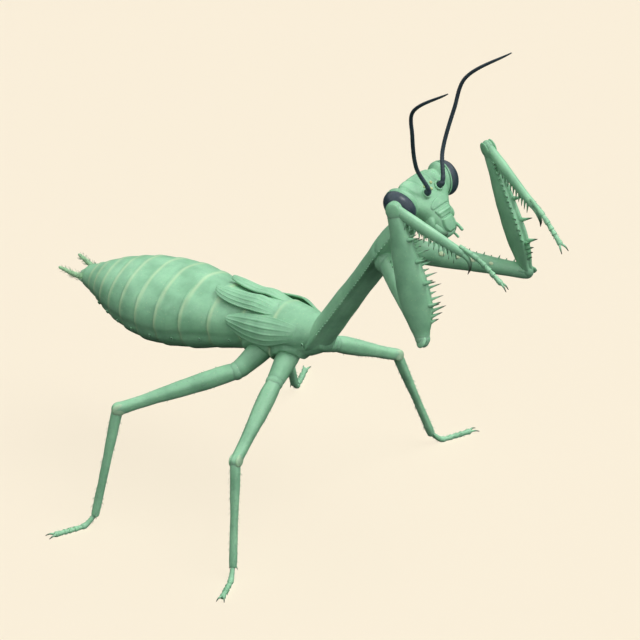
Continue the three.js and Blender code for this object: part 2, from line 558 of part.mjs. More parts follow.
function graspingLeg(word, side, random) {
  const [coxaLine, femurLine, tibiaLine] = [COXA_LINE, FEMUR_LINE, TIBIA_LINE].map((line) =>
    sided(line, side).normalize(),
  );
  const shoulder = beyond(onProthorax(FORELEG.shoulder, -1.5), V(side, 0, 0), 2.2);
  const elbow = beyond(shoulder, coxaLine, FORELEG.coxa);
  const knee = beyond(elbow, femurLine, FORELEG.femur);
  const wrist = beyond(knee, tibiaLine, FORELEG.tibia);
  const coxaFront = squareTo(coxaLine, femurLine);
  const femurBelly = squareTo(femurLine, tibiaLine);
  const tibiaBelly = squareTo(tibiaLine, femurLine.clone().negate());
  const femurBack = femurBelly.clone().negate();
  const tibiaBack = tibiaBelly.clone().negate();
  const fold = new THREE.Vector3().crossVectors(tibiaLine, femurLine).normalize();
  const inwards = fold.multiplyScalar(-Math.sign(fold.x) * side);

  // How deep under its line a part is at a share of its length, a little within its surface.
  const under = (rows, within) => {
    const sizes = smoothRows(rows);
    return (share) => sizes(share)[2] * within;
  };
  const coxaSpan = { start: shoulder, end: elbow, way: coxaFront, depth: under(COXA_ROWS, 0.87) };
  const femurSpan = { start: elbow, end: knee, way: femurBelly, depth: under(FEMUR_ROWS, 0.9) };
  const tibiaSpan = { start: knee, end: wrist, way: tibiaBelly, depth: under(TIBIA_ROWS, 0.75) };
  for (const span of [coxaSpan, femurSpan, tibiaSpan]) Object.assign(span, { inwards, random });
  const coxaThorns = thornRow(coxaSpan, COXA_FRONT, () => COXA_LENGTH);
  const femurThorns = [
    ...thornRow(femurSpan, FEMUR_COMB, (i) => FEMUR_COMB_LENGTHS[i % 2]),
    ...thornRow(femurSpan, FEMUR_OUTER, () => FEMUR_OUTER_LENGTH),
    ...thornRow(femurSpan, FEMUR_MIDDLE, (i) => FEMUR_MIDDLE_LENGTHS[i]),
  ];
  const tibiaThorns = [TIBIA_INNER, TIBIA_OUTER].flatMap((row) =>
    thornRow(tibiaSpan, row, (i, share) => lerp(...TIBIA_LENGTHS, share)),
  );
  const clawPoints = TIBIA_CLAW.route.map(([along, drop]) =>
    beyond(wrist, tibiaLine, along, tibiaBelly, drop),
  );
  const claw = hook([beyond(wrist, tibiaLine, -TIBIA_CLAW.sunk), ...clawPoints], TIBIA_CLAW.radius, 6, 6);

  const tibiaShape = { at: evenly(7), sides: 10 };
  const coxaShaft = shaft(shoulder, elbow, coxaFront, COXA_ROWS, { at: evenly(7), sides: 12, power: 1.8 });
  const femurShaft = shaft(elbow, knee, femurBack, FEMUR_ROWS, { at: evenly(11), sides: 14 });
  const tibiaShaft = shaft(knee, wrist, tibiaBack, TIBIA_ROWS, tibiaShape);
  let coxa = Manifold.union([coxaShaft, ...coxaThorns]);
  let femur = Manifold.union([femurShaft, ...femurThorns]);
  let tibia = Manifold.union([tibiaShaft, ...tibiaThorns, claw]);
  [coxa, femur] = mitre(coxa, femur, elbow, coxaLine, femurLine);
  [femur, tibia] = mitre(femur, tibia, knee, femurLine, tibiaLine);

  const { tarsus: toeLength } = FORELEG;
  const toeRoot = beyond(wrist, tibiaLine, -0.9, tibiaBack, 0.9);
  const toePoints = [
    toeRoot,
    beyond(toeRoot, tibiaLine, toeLength * 0.45, tibiaBelly, 0.25),
    beyond(toeRoot, tibiaLine, toeLength, tibiaBelly, 1.5),
  ];
  const tibiaGrown = shaft(knee, wrist, tibiaBack, TIBIA_ROWS, { ...tibiaShape, grow: GAP });
  const tarsus = foot(toePoints, tibiaBack, TOE.radius * 0.92, inwards).subtract(tibiaGrown);
  addNode(`fore_coxa_${word}`, coxa.subtract(prothoraxGrown), green);
  addNode(`fore_femur_${word}`, femur, green);
  addNode(`fore_tibia_${word}`, tibia, green);
  addNode(`fore_tarsus_${word}`, tarsus, darkGreen);
}

for (const [word, side] of SIDES) {
  graspingLeg(word, side, seeded(11));
  walkingLeg("mid", word, side, MID_LEG);
  walkingLeg("hind", word, side, HIND_LEG);
}

// The origin is under the middle of the whole animal, on the floor.
const reach = new THREE.Box3().setFromObject(mantis);
const middle = reach.getCenter(V(0, 0, 0));
mantis.position.set(-middle.x, -middle.y, -reach.min.z);

export default mantis;
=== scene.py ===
import math
import random

import bmesh
import bpy
from mathutils import Matrix, Vector, noise
from mathutils.bvhtree import BVHTree
from mathutils.kdtree import KDTree


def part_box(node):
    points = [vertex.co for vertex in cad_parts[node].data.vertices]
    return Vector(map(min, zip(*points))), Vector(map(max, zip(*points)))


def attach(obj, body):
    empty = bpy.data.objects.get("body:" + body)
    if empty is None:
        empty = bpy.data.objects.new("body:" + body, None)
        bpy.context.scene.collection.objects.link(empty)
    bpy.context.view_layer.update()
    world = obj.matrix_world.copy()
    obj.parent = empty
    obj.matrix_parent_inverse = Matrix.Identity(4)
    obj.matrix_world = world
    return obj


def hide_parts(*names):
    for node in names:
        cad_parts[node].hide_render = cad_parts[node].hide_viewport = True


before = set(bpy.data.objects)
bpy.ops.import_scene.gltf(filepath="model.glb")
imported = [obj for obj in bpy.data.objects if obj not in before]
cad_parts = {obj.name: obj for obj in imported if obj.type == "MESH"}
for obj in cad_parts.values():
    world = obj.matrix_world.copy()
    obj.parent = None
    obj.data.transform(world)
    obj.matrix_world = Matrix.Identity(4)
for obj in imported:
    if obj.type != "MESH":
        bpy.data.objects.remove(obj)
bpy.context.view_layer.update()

# ---- sizes
# Everything is modelled in millimetres in the animal's own axes: its left is +X, it faces -Y, and it
# stands on z = 0. keep() turns each finished piece to metres and sets it in the frame.
MM = 0.001
X, Y, Z = Vector((1, 0, 0)), Vector((0, 1, 0)), Vector((0, 0, 1))

TRUNK_LINE = [(0, 3.0, 31.0), (0, 15, 29.1), (0, 32, 27.2), (0, 48.6, 26.0)]
TRUNK_ROWS = [  # share of the trunk, half width, height over its line, depth under it
    (0, 2.9, 2.6, 3.0),
    (0.06, 4.0, 3.4, 3.9),
    (0.16, 5.1, 4.2, 4.9),
    (0.25, 5.1, 4.3, 4.8),
    (0.31, 4.9, 4.2, 4.5),
    (0.42, 6.2, 5.0, 5.2),
    (0.54, 7.9, 5.9, 6.1),
    (0.64, 8.4, 6.1, 6.4),
    (0.75, 7.7, 5.7, 5.9),
    (0.86, 5.7, 4.5, 4.5),
    (0.95, 3.4, 2.9, 2.7),
    (1, 2.2, 2.0, 1.7),
]
WAIST_T = 0.3  # where the thorax ends, as a share of the trunk
SEGMENTS = 10  # of the abdomen
SEGMENT_SHORTENING = 0.038  # how fast they get shorter towards the tail

PROTHORAX_HINGE = Vector((0, 3.6, 30.8))
PROTHORAX_LENGTH = 31.5
PROTHORAX_RISE = math.radians(57)
PROTHORAX_OVERRUN = 1.6  # how far it runs back into the thorax
PROTHORAX_ROWS = [
    (0, 3.5, 2.1, 2.5),
    (0.2, 3.2, 2.1, 2.4),
    (0.45, 3.0, 2.0, 2.2),
    (0.64, 3.4, 2.0, 2.35),
    (0.77, 4.2, 2.2, 2.65),
    (0.88, 3.6, 2.0, 2.4),
    (0.96, 2.75, 1.6, 1.9),
    (1, 2.2, 1.3, 1.6),
]
FORWARD = Vector((0, -math.cos(PROTHORAX_RISE), math.sin(PROTHORAX_RISE)))
DORSAL = Vector((0, math.sin(PROTHORAX_RISE), math.cos(PROTHORAX_RISE)))
PROTHORAX_END = PROTHORAX_HINGE + FORWARD * PROTHORAX_LENGTH

NECK_LENGTH = 2.4
HEAD_TOP, HEAD_BOTTOM = 4.3, 6.0
HEAD_TILT = math.radians(45)
FACE_UP = Vector((0, math.cos(HEAD_TILT), math.sin(HEAD_TILT)))  # from mouth to crown
FACE_OUT = Vector((0, -math.sin(HEAD_TILT), math.cos(HEAD_TILT)))
HEAD_CENTRE = PROTHORAX_END + FORWARD * NECK_LENGTH + FACE_OUT * 2.5
HEAD_ROWS = [  # share of the way from crown to mouth, half width, out of the face, to its back
    (0, 3.5, 0.8, 0.8),
    (0.06, 4.9, 1.5, 1.6),
    (0.18, 5.5, 2.0, 2.4),
    (0.32, 5.3, 2.25, 2.8),
    (0.46, 4.3, 2.25, 2.8),
    (0.6, 3.15, 2.05, 2.5),
    (0.73, 2.35, 1.7, 1.9),
    (0.86, 1.8, 1.3, 1.4),
    (1, 1.35, 0.75, 0.95),
]
EYE_RADII = Vector((2.0, 2.85, 2.3))  # across, tall, deep
EYE_SPOT = Vector((5.75, 1.7, 0.1))  # across, up the face, out of it
EYE_LEAN = math.radians(17)

WALKING_GIRTH = {"mid": 1.15, "hind": 1.2}
WALKING_JOINTS = {  # where its hip, coxa's end, knee, ankle, sole and toes are, on the left
    "mid": [
        (2.2, 8.2, 27.0), (7.4, 7.2, 24.6), (21, 4.7, 17.2),
        (25.8, 1.6, 2.0), (27.6, 0.7, 0.33), (32.2, -1.2, 0.33),
    ],
    "hind": [
        (2.4, 12.6, 27.0), (7.6, 14.2, 24.2), (20.8, 27.8, 18.6),
        (25.8, 28.4, 2.0), (27.6, 29.2, 0.33), (32.4, 31.2, 0.33),
    ],
}
WALKING_ROWS = {  # along each part, its radius as a share of the leg's girth
    "coxa": [(0, 1.62), (0.3, 1.55), (1, 1.15)],
    "femur": [(0, 1.2), (0.25, 1.2), (0.75, 0.84), (0.92, 0.82), (1, 0.88)],
    "tibia": [(0, 0.72), (0.08, 0.76), (0.3, 0.64), (0.75, 0.53), (0.95, 0.6), (1, 0.56)],
}


def on_head(x, up, out):
    """A point in the head's own directions."""
    return HEAD_CENTRE + X * x + FACE_UP * up + FACE_OUT * out


def eye_place(side):
    return on_head(EYE_SPOT.x * side, EYE_SPOT.y, EYE_SPOT.z)


def middle_of(node):
    low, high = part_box(node)
    return (low + high) / 2


# How the animal's axes lie in the frame, from where the two eyes are.
EYES_MIDDLE = (middle_of("eye_left") + middle_of("eye_right")) / 2 / MM
FRAME_SHIFT = EYES_MIDDLE - on_head(0, EYE_SPOT.y, EYE_SPOT.z)
TO_FRAME = Matrix.Scale(MM, 4) @ Matrix.Translation(FRAME_SHIFT)

# ---- making shapes
CAP_ANGLES = [math.radians(angle) for angle in (80, 52, 26)]


def alone(piece):
    """Selects one piece and nothing else."""
    if bpy.context.object and bpy.context.object.mode != "OBJECT":
        mode("OBJECT")
    bpy.ops.object.select_all(action="DESELECT")
    piece.select_set(True)
    bpy.context.view_layer.objects.active = piece
    return piece


def mode(word):
    bpy.ops.object.mode_set(mode=word)


def axes(along, up):
    """Three directions as a matrix: across, up and along."""
    along = along.normalized()
    up = (up - along * up.dot(along)).normalized()
    return Matrix((up.cross(along), up, along)).transposed()


def spread(low, high, count):
    return [low + (high - low) * i / (count - 1) for i in range(count)]


def round_rows(sizes, girth=1):
    """Rows of a round form, from its radius at some shares of its length."""
    return [(t, size * girth, size * girth, size * girth) for t, size in sizes]


def eased(rows, t):
    """Rows of (t, size, size, ...) read smoothly between them."""
    last = len(rows) - 1
    k = max(0, min(last - 1, sum(row[0] <= t for row in rows) - 1))
    before, start, end, after = rows[max(k - 1, 0)], rows[k], rows[k + 1], rows[min(k + 2, last)]
    span = end[0] - start[0]
    s = min(max((t - start[0]) / span, 0), 1)
    sizes = []
    for a, b, c, d in zip(before[1:], start[1:], end[1:], after[1:]):
        slope_in = (c - a) / (end[0] - before[0]) * span
        slope_out = (d - b) / (after[0] - start[0]) * span
        bend = b * (1 - s) + c * s
        bend += s * (1 - s) * ((1 - s) * (slope_in - c + b) - s * (slope_out - c + b))
        sizes.append(bend)
    return sizes


class Route:
    """A smooth line through a few points, read by the share of its length."""

    FINE = 40

    def __init__(self, *points):
        spots = [Vector(point) for point in points]
        rows = [(0, *spots[0])]
        for a, b in zip(spots, spots[1:]):
            rows.append((rows[-1][0] + (b - a).length ** 0.5, *b))
        steps = self.FINE * (len(spots) - 1)
        self.dots = [Vector(eased(rows, t)) for t in spread(0, rows[-1][0], steps + 1)]
        self.way = [0]
        for a, b in zip(self.dots, self.dots[1:]):
            self.way.append(self.way[-1] + (b - a).length)
        self.length = self.way[-1]

    def place(self, t):
        reach = t * self.length
        k = min(max(sum(w <= reach for w in self.way) - 1, 0), len(self.dots) - 2)
        share = (reach - self.way[k]) / (self.way[k + 1] - self.way[k])
        return self.dots[k].lerp(self.dots[k + 1], share)

    def line(self, t):
        step = 0.5 / self.FINE
        return (self.place(min(t + step, 1)) - self.place(max(t - step, 0))).normalized()


def grow(name, route, rows, up, stations, sides, bulge=(0, 0), section=None):
    """A closed form grown along a route from a circle that is extruded, turned and resized from
    station to station. rows hold (share, half width, height over the line, depth under it), stations
    a share of the way and a factor on the size there. bulge rounds the two ends by so many
    millimetres, and section reshapes the circle: it gives a factor for each angle."""
    stops = [(0, -bulge[0] * math.sin(a), math.cos(a)) for a in CAP_ANGLES if bulge[0]]
    stops += [(t, 0, factor) for t, factor in stations]
    stops += [(1, bulge[1] * math.sin(a), math.cos(a)) for a in reversed(CAP_ANGLES) if bulge[1]]
    was = None
    for t, beyond, factor in stops:
        line = route.line(t)
        width, over, under = (size * factor for size in eased(rows, t))
        height = (over + under) / 2
        if was is None:
            turn = axes(line, up)
            place = route.place(t) + line * beyond + turn.col[1] * (over - under) / 2
            bpy.ops.object.select_all(action="DESELECT")
            bpy.ops.mesh.primitive_circle_add(
                vertices=sides, radius=1, fill_type="NGON", enter_editmode=True,
                location=place, rotation=turn.to_euler(),
            )
            piece = bpy.context.object
            if section:
                reshape_circle(piece, section)
            stretch = (width, height, 1)
        else:
            last_place, last_line, last_width, last_height = was
            bend = last_line.rotation_difference(line)
            next_turn = bend.to_matrix() @ turn
            place = route.place(t) + line * beyond + next_turn.col[1] * (over - under) / 2
            bpy.ops.mesh.extrude_region_move(TRANSFORM_OT_translate={"value": place - last_place})
            if bend.angle > 1e-5:
                bpy.ops.transform.rotate(
                    value=bend.angle, orient_axis="Z", constraint_axis=(False, False, True),
                    orient_type="GLOBAL", orient_matrix_type="GLOBAL",
                    orient_matrix=axes(bend.axis, X if abs(bend.axis.x) < 0.9 else Y),
                    center_override=place,
                )
            turn = next_turn
            stretch = (width / last_width, height / last_height, 1)
        bpy.ops.transform.resize(
            value=stretch, orient_type="GLOBAL", orient_matrix=turn, orient_matrix_type="GLOBAL",
            center_override=place,
        )
        was = place, line, width, height
    bpy.ops.mesh.select_all(action="SELECT")
    bpy.ops.mesh.normals_make_consistent(inside=False)
    mode("OBJECT")
    bpy.ops.object.transform_apply(location=True, rotation=True, scale=True)
    piece.name = name
    return piece


def reshape_circle(piece, section):
    mesh = bmesh.from_edit_mesh(piece.data)
    for spot in mesh.verts:
        spot.co *= section(math.atan2(spot.co.y, spot.co.x))
    bmesh.update_edit_mesh(piece.data)


def bell(value, centre, half):
    """1 at a centre, falling smoothly to nothing on both sides of it."""
    return math.exp(-(((value - centre) / half) ** 2))


def swelling(angle, degrees, half, height):
    """A smooth bump of a section round one of its angles, and round its mirror image."""
    total = 0
    for centre in {degrees, 180 - degrees}:
        off = math.degrees(math.remainder(angle - math.radians(centre), math.tau))
        total += height * bell(off, 0, half)
    return total


def squared(power):
    """A section between a circle, at 2, and a square."""
    return lambda a: (abs(math.cos(a)) ** power + abs(math.sin(a)) ** power) ** (-1 / power)


def plain(start, end, count):
    return [(t, 1) for t in spread(start, end, count)]


def repeated(starts, profile):
    """Stations that repeat a profile of (share, factor) from each start to the next."""
    spans = zip(starts, starts[1:])
    return [(start + (end - start) * share, factor) for start, end in spans for share, factor in profile]


def modified(piece, kind, **settings):
    """Applies a modifier with its settings."""
    alone(piece)
    step = piece.modifiers.new("step", kind)
    for name, value in settings.items():
        setattr(step, name, value)
    bpy.ops.object.modifier_apply(modifier=step.name)
    return piece


def soften(piece):
    """Subdivides a piece, rounded."""
    return modified(piece, "SUBSURF", levels=1, render_levels=1)


def on_all(piece, operation, **settings):
    """Runs an edit operation on the whole of a piece."""
    alone(piece)
    mode("EDIT")
    bpy.ops.mesh.select_all(action="SELECT")
    operation(**settings)
    mode("OBJECT")


def pick(piece, test):
    """Selects, in edit mode, the corners of a piece that pass a test."""
    alone(piece)
    mode("EDIT")
    bpy.ops.mesh.select_mode(type="VERT")
    bpy.ops.mesh.select_all(action="DESELECT")
    mesh = bmesh.from_edit_mesh(piece.data)
    for spot in mesh.verts:
        spot.select = bool(test(spot.co))
    mesh.select_flush(True)
    bmesh.update_edit_mesh(piece.data)


def refined(piece, test):
    """Splits the faces between the corners that pass a test."""
    pick(piece, test)
    bpy.ops.mesh.subdivide(number_cuts=1)
    mode("OBJECT")
    return piece


def added(name, primitive, place=(0, 0, 0), turn=Matrix.Identity(3), stretch=(1, 1, 1), **settings):
    """A primitive added with nothing else selected, stretched along its own directions, with its place
    put in its mesh."""
    bpy.ops.object.select_all(action="DESELECT")
    primitive(location=place, rotation=turn.to_euler(), **settings)
    piece = bpy.context.object
    piece.scale = stretch
    bpy.ops.object.transform_apply(location=True, rotation=True, scale=True)
    piece.name = name
    return piece


def ball(name, centre, radii, turn, segments, rings):
    """An ellipsoid."""
    sphere = bpy.ops.mesh.primitive_uv_sphere_add
    return added(name, sphere, centre, turn, radii, segments=segments, ring_count=rings, radius=1)


def rim(name, centre, turn, radius, thick, segments, sides, stretch=(1, 1, 1)):
    """A rolled ring, square to the last direction of turn."""
    return added(
        name, bpy.ops.mesh.primitive_torus_add, centre, turn, stretch,
        major_radius=radius, minor_radius=thick, major_segments=segments, minor_segments=sides,
    )


def joined(name, pieces):
    alone(pieces[0])
    for piece in pieces[1:]:
        piece.select_set(True)
    if len(pieces) > 1:
        bpy.ops.object.join()
    pieces[0].name = name
    return pieces[0]


def mirrored(piece, name):
    """The same piece on the animal's other side."""
    alone(piece)
    bpy.ops.object.duplicate()
    other = bpy.context.object
    on_all(other, bpy.ops.transform.resize, value=(-1, 1, 1), center_override=(0, 0, 0))
    on_all(other, bpy.ops.mesh.flip_normals)
    other.name = name
    return other


def mark(piece, attribute, value):
    """Stores a number at each corner, worked out from its place."""
    layer = piece.data.attributes.new(attribute, "FLOAT", "POINT")
    layer.data.foreach_set("value", [value(spot.co) for spot in piece.data.vertices])
    return piece


def planted(name, model, roots):
    """Copies of a model that stands on the origin along +Z, one for each (root, direction, length,
    radius), joined."""
    copies = []
    for root, direction, length, radius in roots:
        copy = model.copy()
        copy.data = model.data.copy()
        bpy.context.collection.objects.link(copy)
        size = Matrix.Diagonal((radius, radius, length, 1))
        copy.data.transform(Matrix.Translation(root) @ axes(direction, Z + X * 0.1).to_4x4() @ size)
        copies.append(copy)
    return joined(name, copies)


def keep(piece, look, *nodes):
    """Sets a finished piece in the frame, smooth, with its finish, in place of CAD nodes."""
    finish, slot = look
    piece.data.transform(TO_FRAME)
    piece.data.materials.append(finish)
    alone(piece)
    bpy.ops.object.shade_smooth_by_angle(angle=math.radians(50))
    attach(piece, "root")
    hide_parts(*nodes)


def keep_pair(piece, name, look, *nodes):
    """Keeps a piece of the left side and its mirror image, each in place of the nodes on its side."""
    piece.name = f"{name}_left"
    halves = {"left": piece, "right": mirrored(piece, f"{name}_right")}
    for side, half in halves.items():
        keep(half, look, *[f"{node}_{side}" for node in nodes])


def fused(name, pieces, grain, rounds):
    """Pieces that run into one another, made one skin: remeshed at a grain and smoothed."""
    piece = modified(joined(name, pieces), "REMESH", mode="VOXEL", voxel_size=grain)
    return modified(piece, "SMOOTH", factor=0.6, iterations=rounds)


def leaf(name, place, thick, out, columns, rows):
    """A thin closed plate: a grid whose corners go where place(across, along) says, from 0 to 1 each
    way, with its thickness added away from the direction out."""
    grid = bpy.ops.mesh.primitive_grid_add
    piece = added(name, grid, x_subdivisions=columns, y_subdivisions=rows, size=1)
    for spot in piece.data.vertices:
        spot.co = place(spot.co.x + 0.5, spot.co.y + 0.5)
    on_all(piece, bpy.ops.mesh.normals_make_consistent, inside=False)
    if sum(face.normal.dot(out) * face.area for face in piece.data.polygons) < 0:
        on_all(piece, bpy.ops.mesh.flip_normals)
    return soften(modified(piece, "SOLIDIFY", thickness=thick, offset=-1))


def step_up(value, low, high):
    """0 below low, 1 above high and a smooth rise between them."""
    share = min(max((value - low) / (high - low), 0), 1)
    return share * share * (3 - 2 * share)


def raised(piece, lift):
    """Moves each corner of a piece out of its surface by what lift gives for its place."""
    spots = piece.data.vertices
    places = [spot.co + spot.normal * lift(spot.co) for spot in spots]
    spots.foreach_set("co", [number for place in places for number in place])
    return piece


def uneven(piece, depth, size):
    """The dents and swellings of a grown thing, so many millimetres deep and wide."""
    return raised(piece, lambda spot: depth * noise.noise(spot / size))


def skin_finder(piece):
    """A function that gives where a ray first meets a piece."""
    mesh = bmesh.new()
    mesh.from_mesh(piece.data)
    tree = BVHTree.FromBMesh(mesh)
    mesh.free()
    return lambda start, way: tree.ray_cast(start, way)[0]


# ---- finishes
def linear(code):
    """An sRGB colour such as "#8fc79e" as the shader's linear numbers."""
    parts = [int(code[i:i + 2], 16) / 255 for i in (1, 3, 5)]
    return (*[c / 12.92 if c <= 0.04045 else ((c + 0.055) / 1.055) ** 2.4 for c in parts], 1)


def fill(node, inputs):
    """Gives a node its inputs, as values or as another node's output."""
    for name, value in inputs.items():
        if isinstance(value, bpy.types.NodeSocket):
            node.id_data.links.new(value, node.inputs[name])
        else:
            node.inputs[name].default_value = value


def add(tree, kind, inputs=None, **settings):
    """Adds a node with its settings and its inputs."""
    node = tree.nodes.new(kind)
    for name, value in settings.items():
        setattr(node, name, value)
    fill(node, inputs or {})
    return node


def new_finish(name):
    finish = bpy.data.materials.new(name)
    finish.use_nodes = True
    tree = finish.node_tree
    tree.nodes.clear()
    shader = add(tree, "ShaderNodeBsdfPrincipled")
    add(tree, "ShaderNodeOutputMaterial", {"Surface": shader.outputs["BSDF"]})
    return finish, tree, shader


def per_mm(millimetres):
    """The scale that gives a pattern one cell in so many millimetres."""
    return 1 / (millimetres * MM)


# The colour of horny points, and also the painted shade in the slits of the breathing holes.
HORN_BROWN_AND_HOLE_SHADE = "#2a2320"


def cuticle(name, slot, light, middle, dark, pale="#d3e3b4", roughness=0.42, relief=0.12, shine=0.5):
    """Waxy insect cuticle, moulded by growth: a soft, even gloss over blotches a few millimetres wide,
    with a paler edge where a plate or joint is thin, horn-brown tips, and a fine pitting. The pale mark
    also paints a highlight on the dome of each eye lens, and the tip mark also paints the shade inside
    the slit of each breathing hole. The true pits are about 0.05 mm apart; they are drawn coarser so
    that they show. It comes with the record's slot that it stands for."""
    finish, tree, shader = new_finish(name)
    spot = add(tree, "ShaderNodeTexCoord").outputs["Object"]
    blotches = add(tree, "ShaderNodeTexNoise", {"Vector": spot, "Scale": per_mm(3.5), "Detail": 5.0})
    shade = add(tree, "ShaderNodeValToRGB", {"Fac": blotches.outputs["Fac"]})
    low, high = shade.color_ramp.elements
    low.position, low.color = 0.32, linear(dark)
    high.position, high.color = 0.68, linear(light)
    shade.color_ramp.elements.new(0.5).color = linear(middle)
    colour = shade.outputs["Color"]
    grains = add(tree, "ShaderNodeTexNoise", {"Vector": spot, "Scale": per_mm(0.4), "Detail": 3.0})
    specks = add(tree, "ShaderNodeMapRange", {
        "Value": grains.outputs["Fac"],
        "From Min": 0.5, "From Max": 0.75, "To Min": 0.0, "To Max": 0.35,
    })
    freckles = add(tree, "ShaderNodeTexVoronoi", {"Vector": spot, "Scale": per_mm(0.7)})
    dots = add(tree, "ShaderNodeMapRange", {
        "Value": freckles.outputs["Distance"],
        "From Min": 0.08, "From Max": 0.18, "To Min": 0.2, "To Max": 0.0,
    })
    # Paler where a plate or joint is thin, and a painted highlight on the dome of each eye lens.
    thin_edges_and_lens_highlights = add(tree, "ShaderNodeAttribute", attribute_name="pale")
    # Dark at horny points, and the painted shade in the slit of each breathing hole.
    tips_and_hole_shade = add(tree, "ShaderNodeAttribute", attribute_name="tip")
    horn_and_hole_shade = add(tree, "ShaderNodeMapRange", {
        "Value": tips_and_hole_shade.outputs["Fac"], "From Min": 0.45, "From Max": 0.9,
    })
    layers = (
        (specks.outputs["Result"], dark),
        (dots.outputs["Result"], pale),
        (thin_edges_and_lens_highlights.outputs["Fac"], pale),
        (horn_and_hole_shade.outputs["Result"], HORN_BROWN_AND_HOLE_SHADE),
    )
    for share, code in layers:
        layer = {"Factor": share, "A": colour, "B": linear(code)}
        colour = add(tree, "ShaderNodeMix", layer, data_type="RGBA").outputs["Result"]
    pits = add(tree, "ShaderNodeTexVoronoi", {"Vector": spot, "Scale": per_mm(0.35)})
    bump = add(tree, "ShaderNodeBump", {
        "Height": pits.outputs["Distance"], "Strength": relief, "Distance": 0.05 * MM,
    })
    wax = add(tree, "ShaderNodeMapRange", {
        "Value": blotches.outputs["Fac"],
        "From Min": 0.3, "From Max": 0.7, "To Min": roughness + 0.07, "To Max": roughness - 0.05,
    })
    fill(shader, {
        "Base Color": colour, "Normal": bump.outputs["Normal"], "Roughness": wax.outputs["Result"],
        "IOR": 1.54, "Specular IOR Level": shine,
        "Subsurface Weight": 0.2, "Subsurface Radius": (0.5, 1.0, 0.55), "Subsurface Scale": 0.8 * MM,
    })
    return finish, slot


GREEN = cuticle("green_cuticle", "green_cuticle", "#93c9a1", "#88bf98", "#79ae89")
SOFT = cuticle(
    "soft_green_cuticle", "soft_green_cuticle", "#9cc898", "#90bd90", "#7fab82", roughness=0.55,
)
SLATE = cuticle("slate_cuticle", "antenna_slate", "#364852", "#2c3c46", "#23313a", "#465862", 0.5)
# The eye's pale colour is also the painted highlight on its lenses.
EYE = cuticle("compound_eye", "compound_eye", "#31404a", "#26333d", "#1b262e", "#4c5d68", 0.3, 0.0, 0.36)
OCELLUS = cuticle("ocellus_lens", "green_cuticle", "#c4d3a0", "#b6c78f", "#a3b57c", "#d8e2b8", 0.12, 0.0)

# ---- spikes
def spike():
    """A thorn 1 long and 1 in radius: a swollen root, a slight bend and a horny tip."""
    route = Route((0, 0, -0.25), (0, 0, 0.4), (0.1, 0, 1))
    rows = round_rows([(0, 1.2), (0.22, 1.3), (0.34, 0.95), (0.7, 0.55), (1, 0.08)])
    return grow("thorn", route, rows, Y, [(t, 1) for t in (0, 0.2, 0.3, 0.5, 0.75, 1)], 8)


def bristle():
    """A hair 1 long and 1 in radius, curving to a point."""
    route = Route((0, 0, -0.15), (0, 0, 0.45), (0.15, 0, 1))
    rows = round_rows([(0, 1), (0.6, 0.7), (1, 0.15)])
    return grow("bristle", route, rows, Y, plain(0, 1, 4), 4)


def on_shaft(route, up, rows, share, angle):
    """A point on the skin of a shaft along a route, and the way out of it, at an angle round it."""
    turn = axes(route.line(share), up)
    width, over, under = eased(rows, share)
    aside, above = math.cos(angle), math.sin(angle)
    place = route.place(share) + turn.col[0] * width * aside
    return place + turn.col[1] * above * (over if above > 0 else under), turn @ Vector((aside, above, 0))


HAIR_RADIUS, HAIR_SUNK, HAIR_LEAN = 0.035, 0.02, 1.2
HAIR_SPAN, HAIR_LENGTHS = (0.08, 0.96), (0.6, 1.2)  # where along a shaft, shares of the length given


def bristles(route, up, rows, count, length, chance):
    """Short hairs all round a shaft, leaning towards its end."""
    roots = []
    for _ in range(count):
        share = chance.uniform(*HAIR_SPAN)
        place, out = on_shaft(route, up, rows, share, chance.uniform(0, math.tau))
        lean = out + route.line(share) * HAIR_LEAN
        root = place - out * HAIR_SUNK
        roots.append((root, lean, length * chance.uniform(*HAIR_LENGTHS), HAIR_RADIUS))
    return planted("bristles", BRISTLE, roots)


PIMPLE = spike()
BRISTLE = mark(bristle(), "tip", lambda spot: 0.35 + 0.5 * spot.z)
THORN = mark(spike(), "tip", lambda spot: min(max(spot.z, 0), 1))

# ---- trunk
trunk = Route(*TRUNK_LINE)


def trunk_section(angle):
    """A low keel along the back, and the fold between back and belly plates along each side."""
    return 1 + swelling(angle, 90, 9, 0.025) - swelling(angle, -15, 6, 0.035)


def on_trunk(t, degrees, lift=0):
    """A point on the trunk, some degrees over level on its left."""
    width, over, under = eased(TRUNK_ROWS, t)
    angle = math.radians(degrees)
    centre = trunk.place(t) + Z * (over - under) / 2
    height = (over + under) / 2
    return centre + X * (width + lift) * math.cos(angle) + Z * (height + lift) * math.sin(angle)


def segment_starts():
    def share(n):
        return n * (1 - SEGMENT_SHORTENING * n)
    return [WAIST_T + (1 - WAIST_T) * share(i) / share(SEGMENTS) for i in range(SEGMENTS + 1)]


# A plate from its front edge to its hind one: it stands out towards its lip, then turns back under it.
PLATE = [
    (0.02, 0.97), (0.14, 0.984), (0.4, 0.997), (0.75, 1.006),
    (0.93, 1.015), (0.985, 1.017), (1.0, 1.006), (0.97, 0.972),
]
THORAX_PLATES = [  # the middle one and the hind one, whose lips are at these shares of the trunk
    (0, 0.93), (0.008, 0.985), (0.05, 1), (0.1, 1), (0.145, 1.004), (0.163, 1.014), (0.168, 1.006),
    (0.166, 0.975), (0.18, 0.975), (0.2, 0.99), (0.24, 1), (0.275, 1.004), (0.292, 1.014), (0.297, 1.006),
    (0.295, 0.972),
]
THORAX_LIPS = [0.167, 0.296]

COLLAR_STEP, COLLAR_HEIGHT, COLLAR_HALF = 0.45, 0.32, 0.4
FURROW_STEP, FURROW_DEPTH, FURROW_HALF = 0.85, 0.2, 0.24
SEAM_LEAN, SEAM_DEPTH, SEAM_HALF = 0.35, 0.22, 0.22
SEAM_TOP, SEAM_FADE = 30.5, -1.2


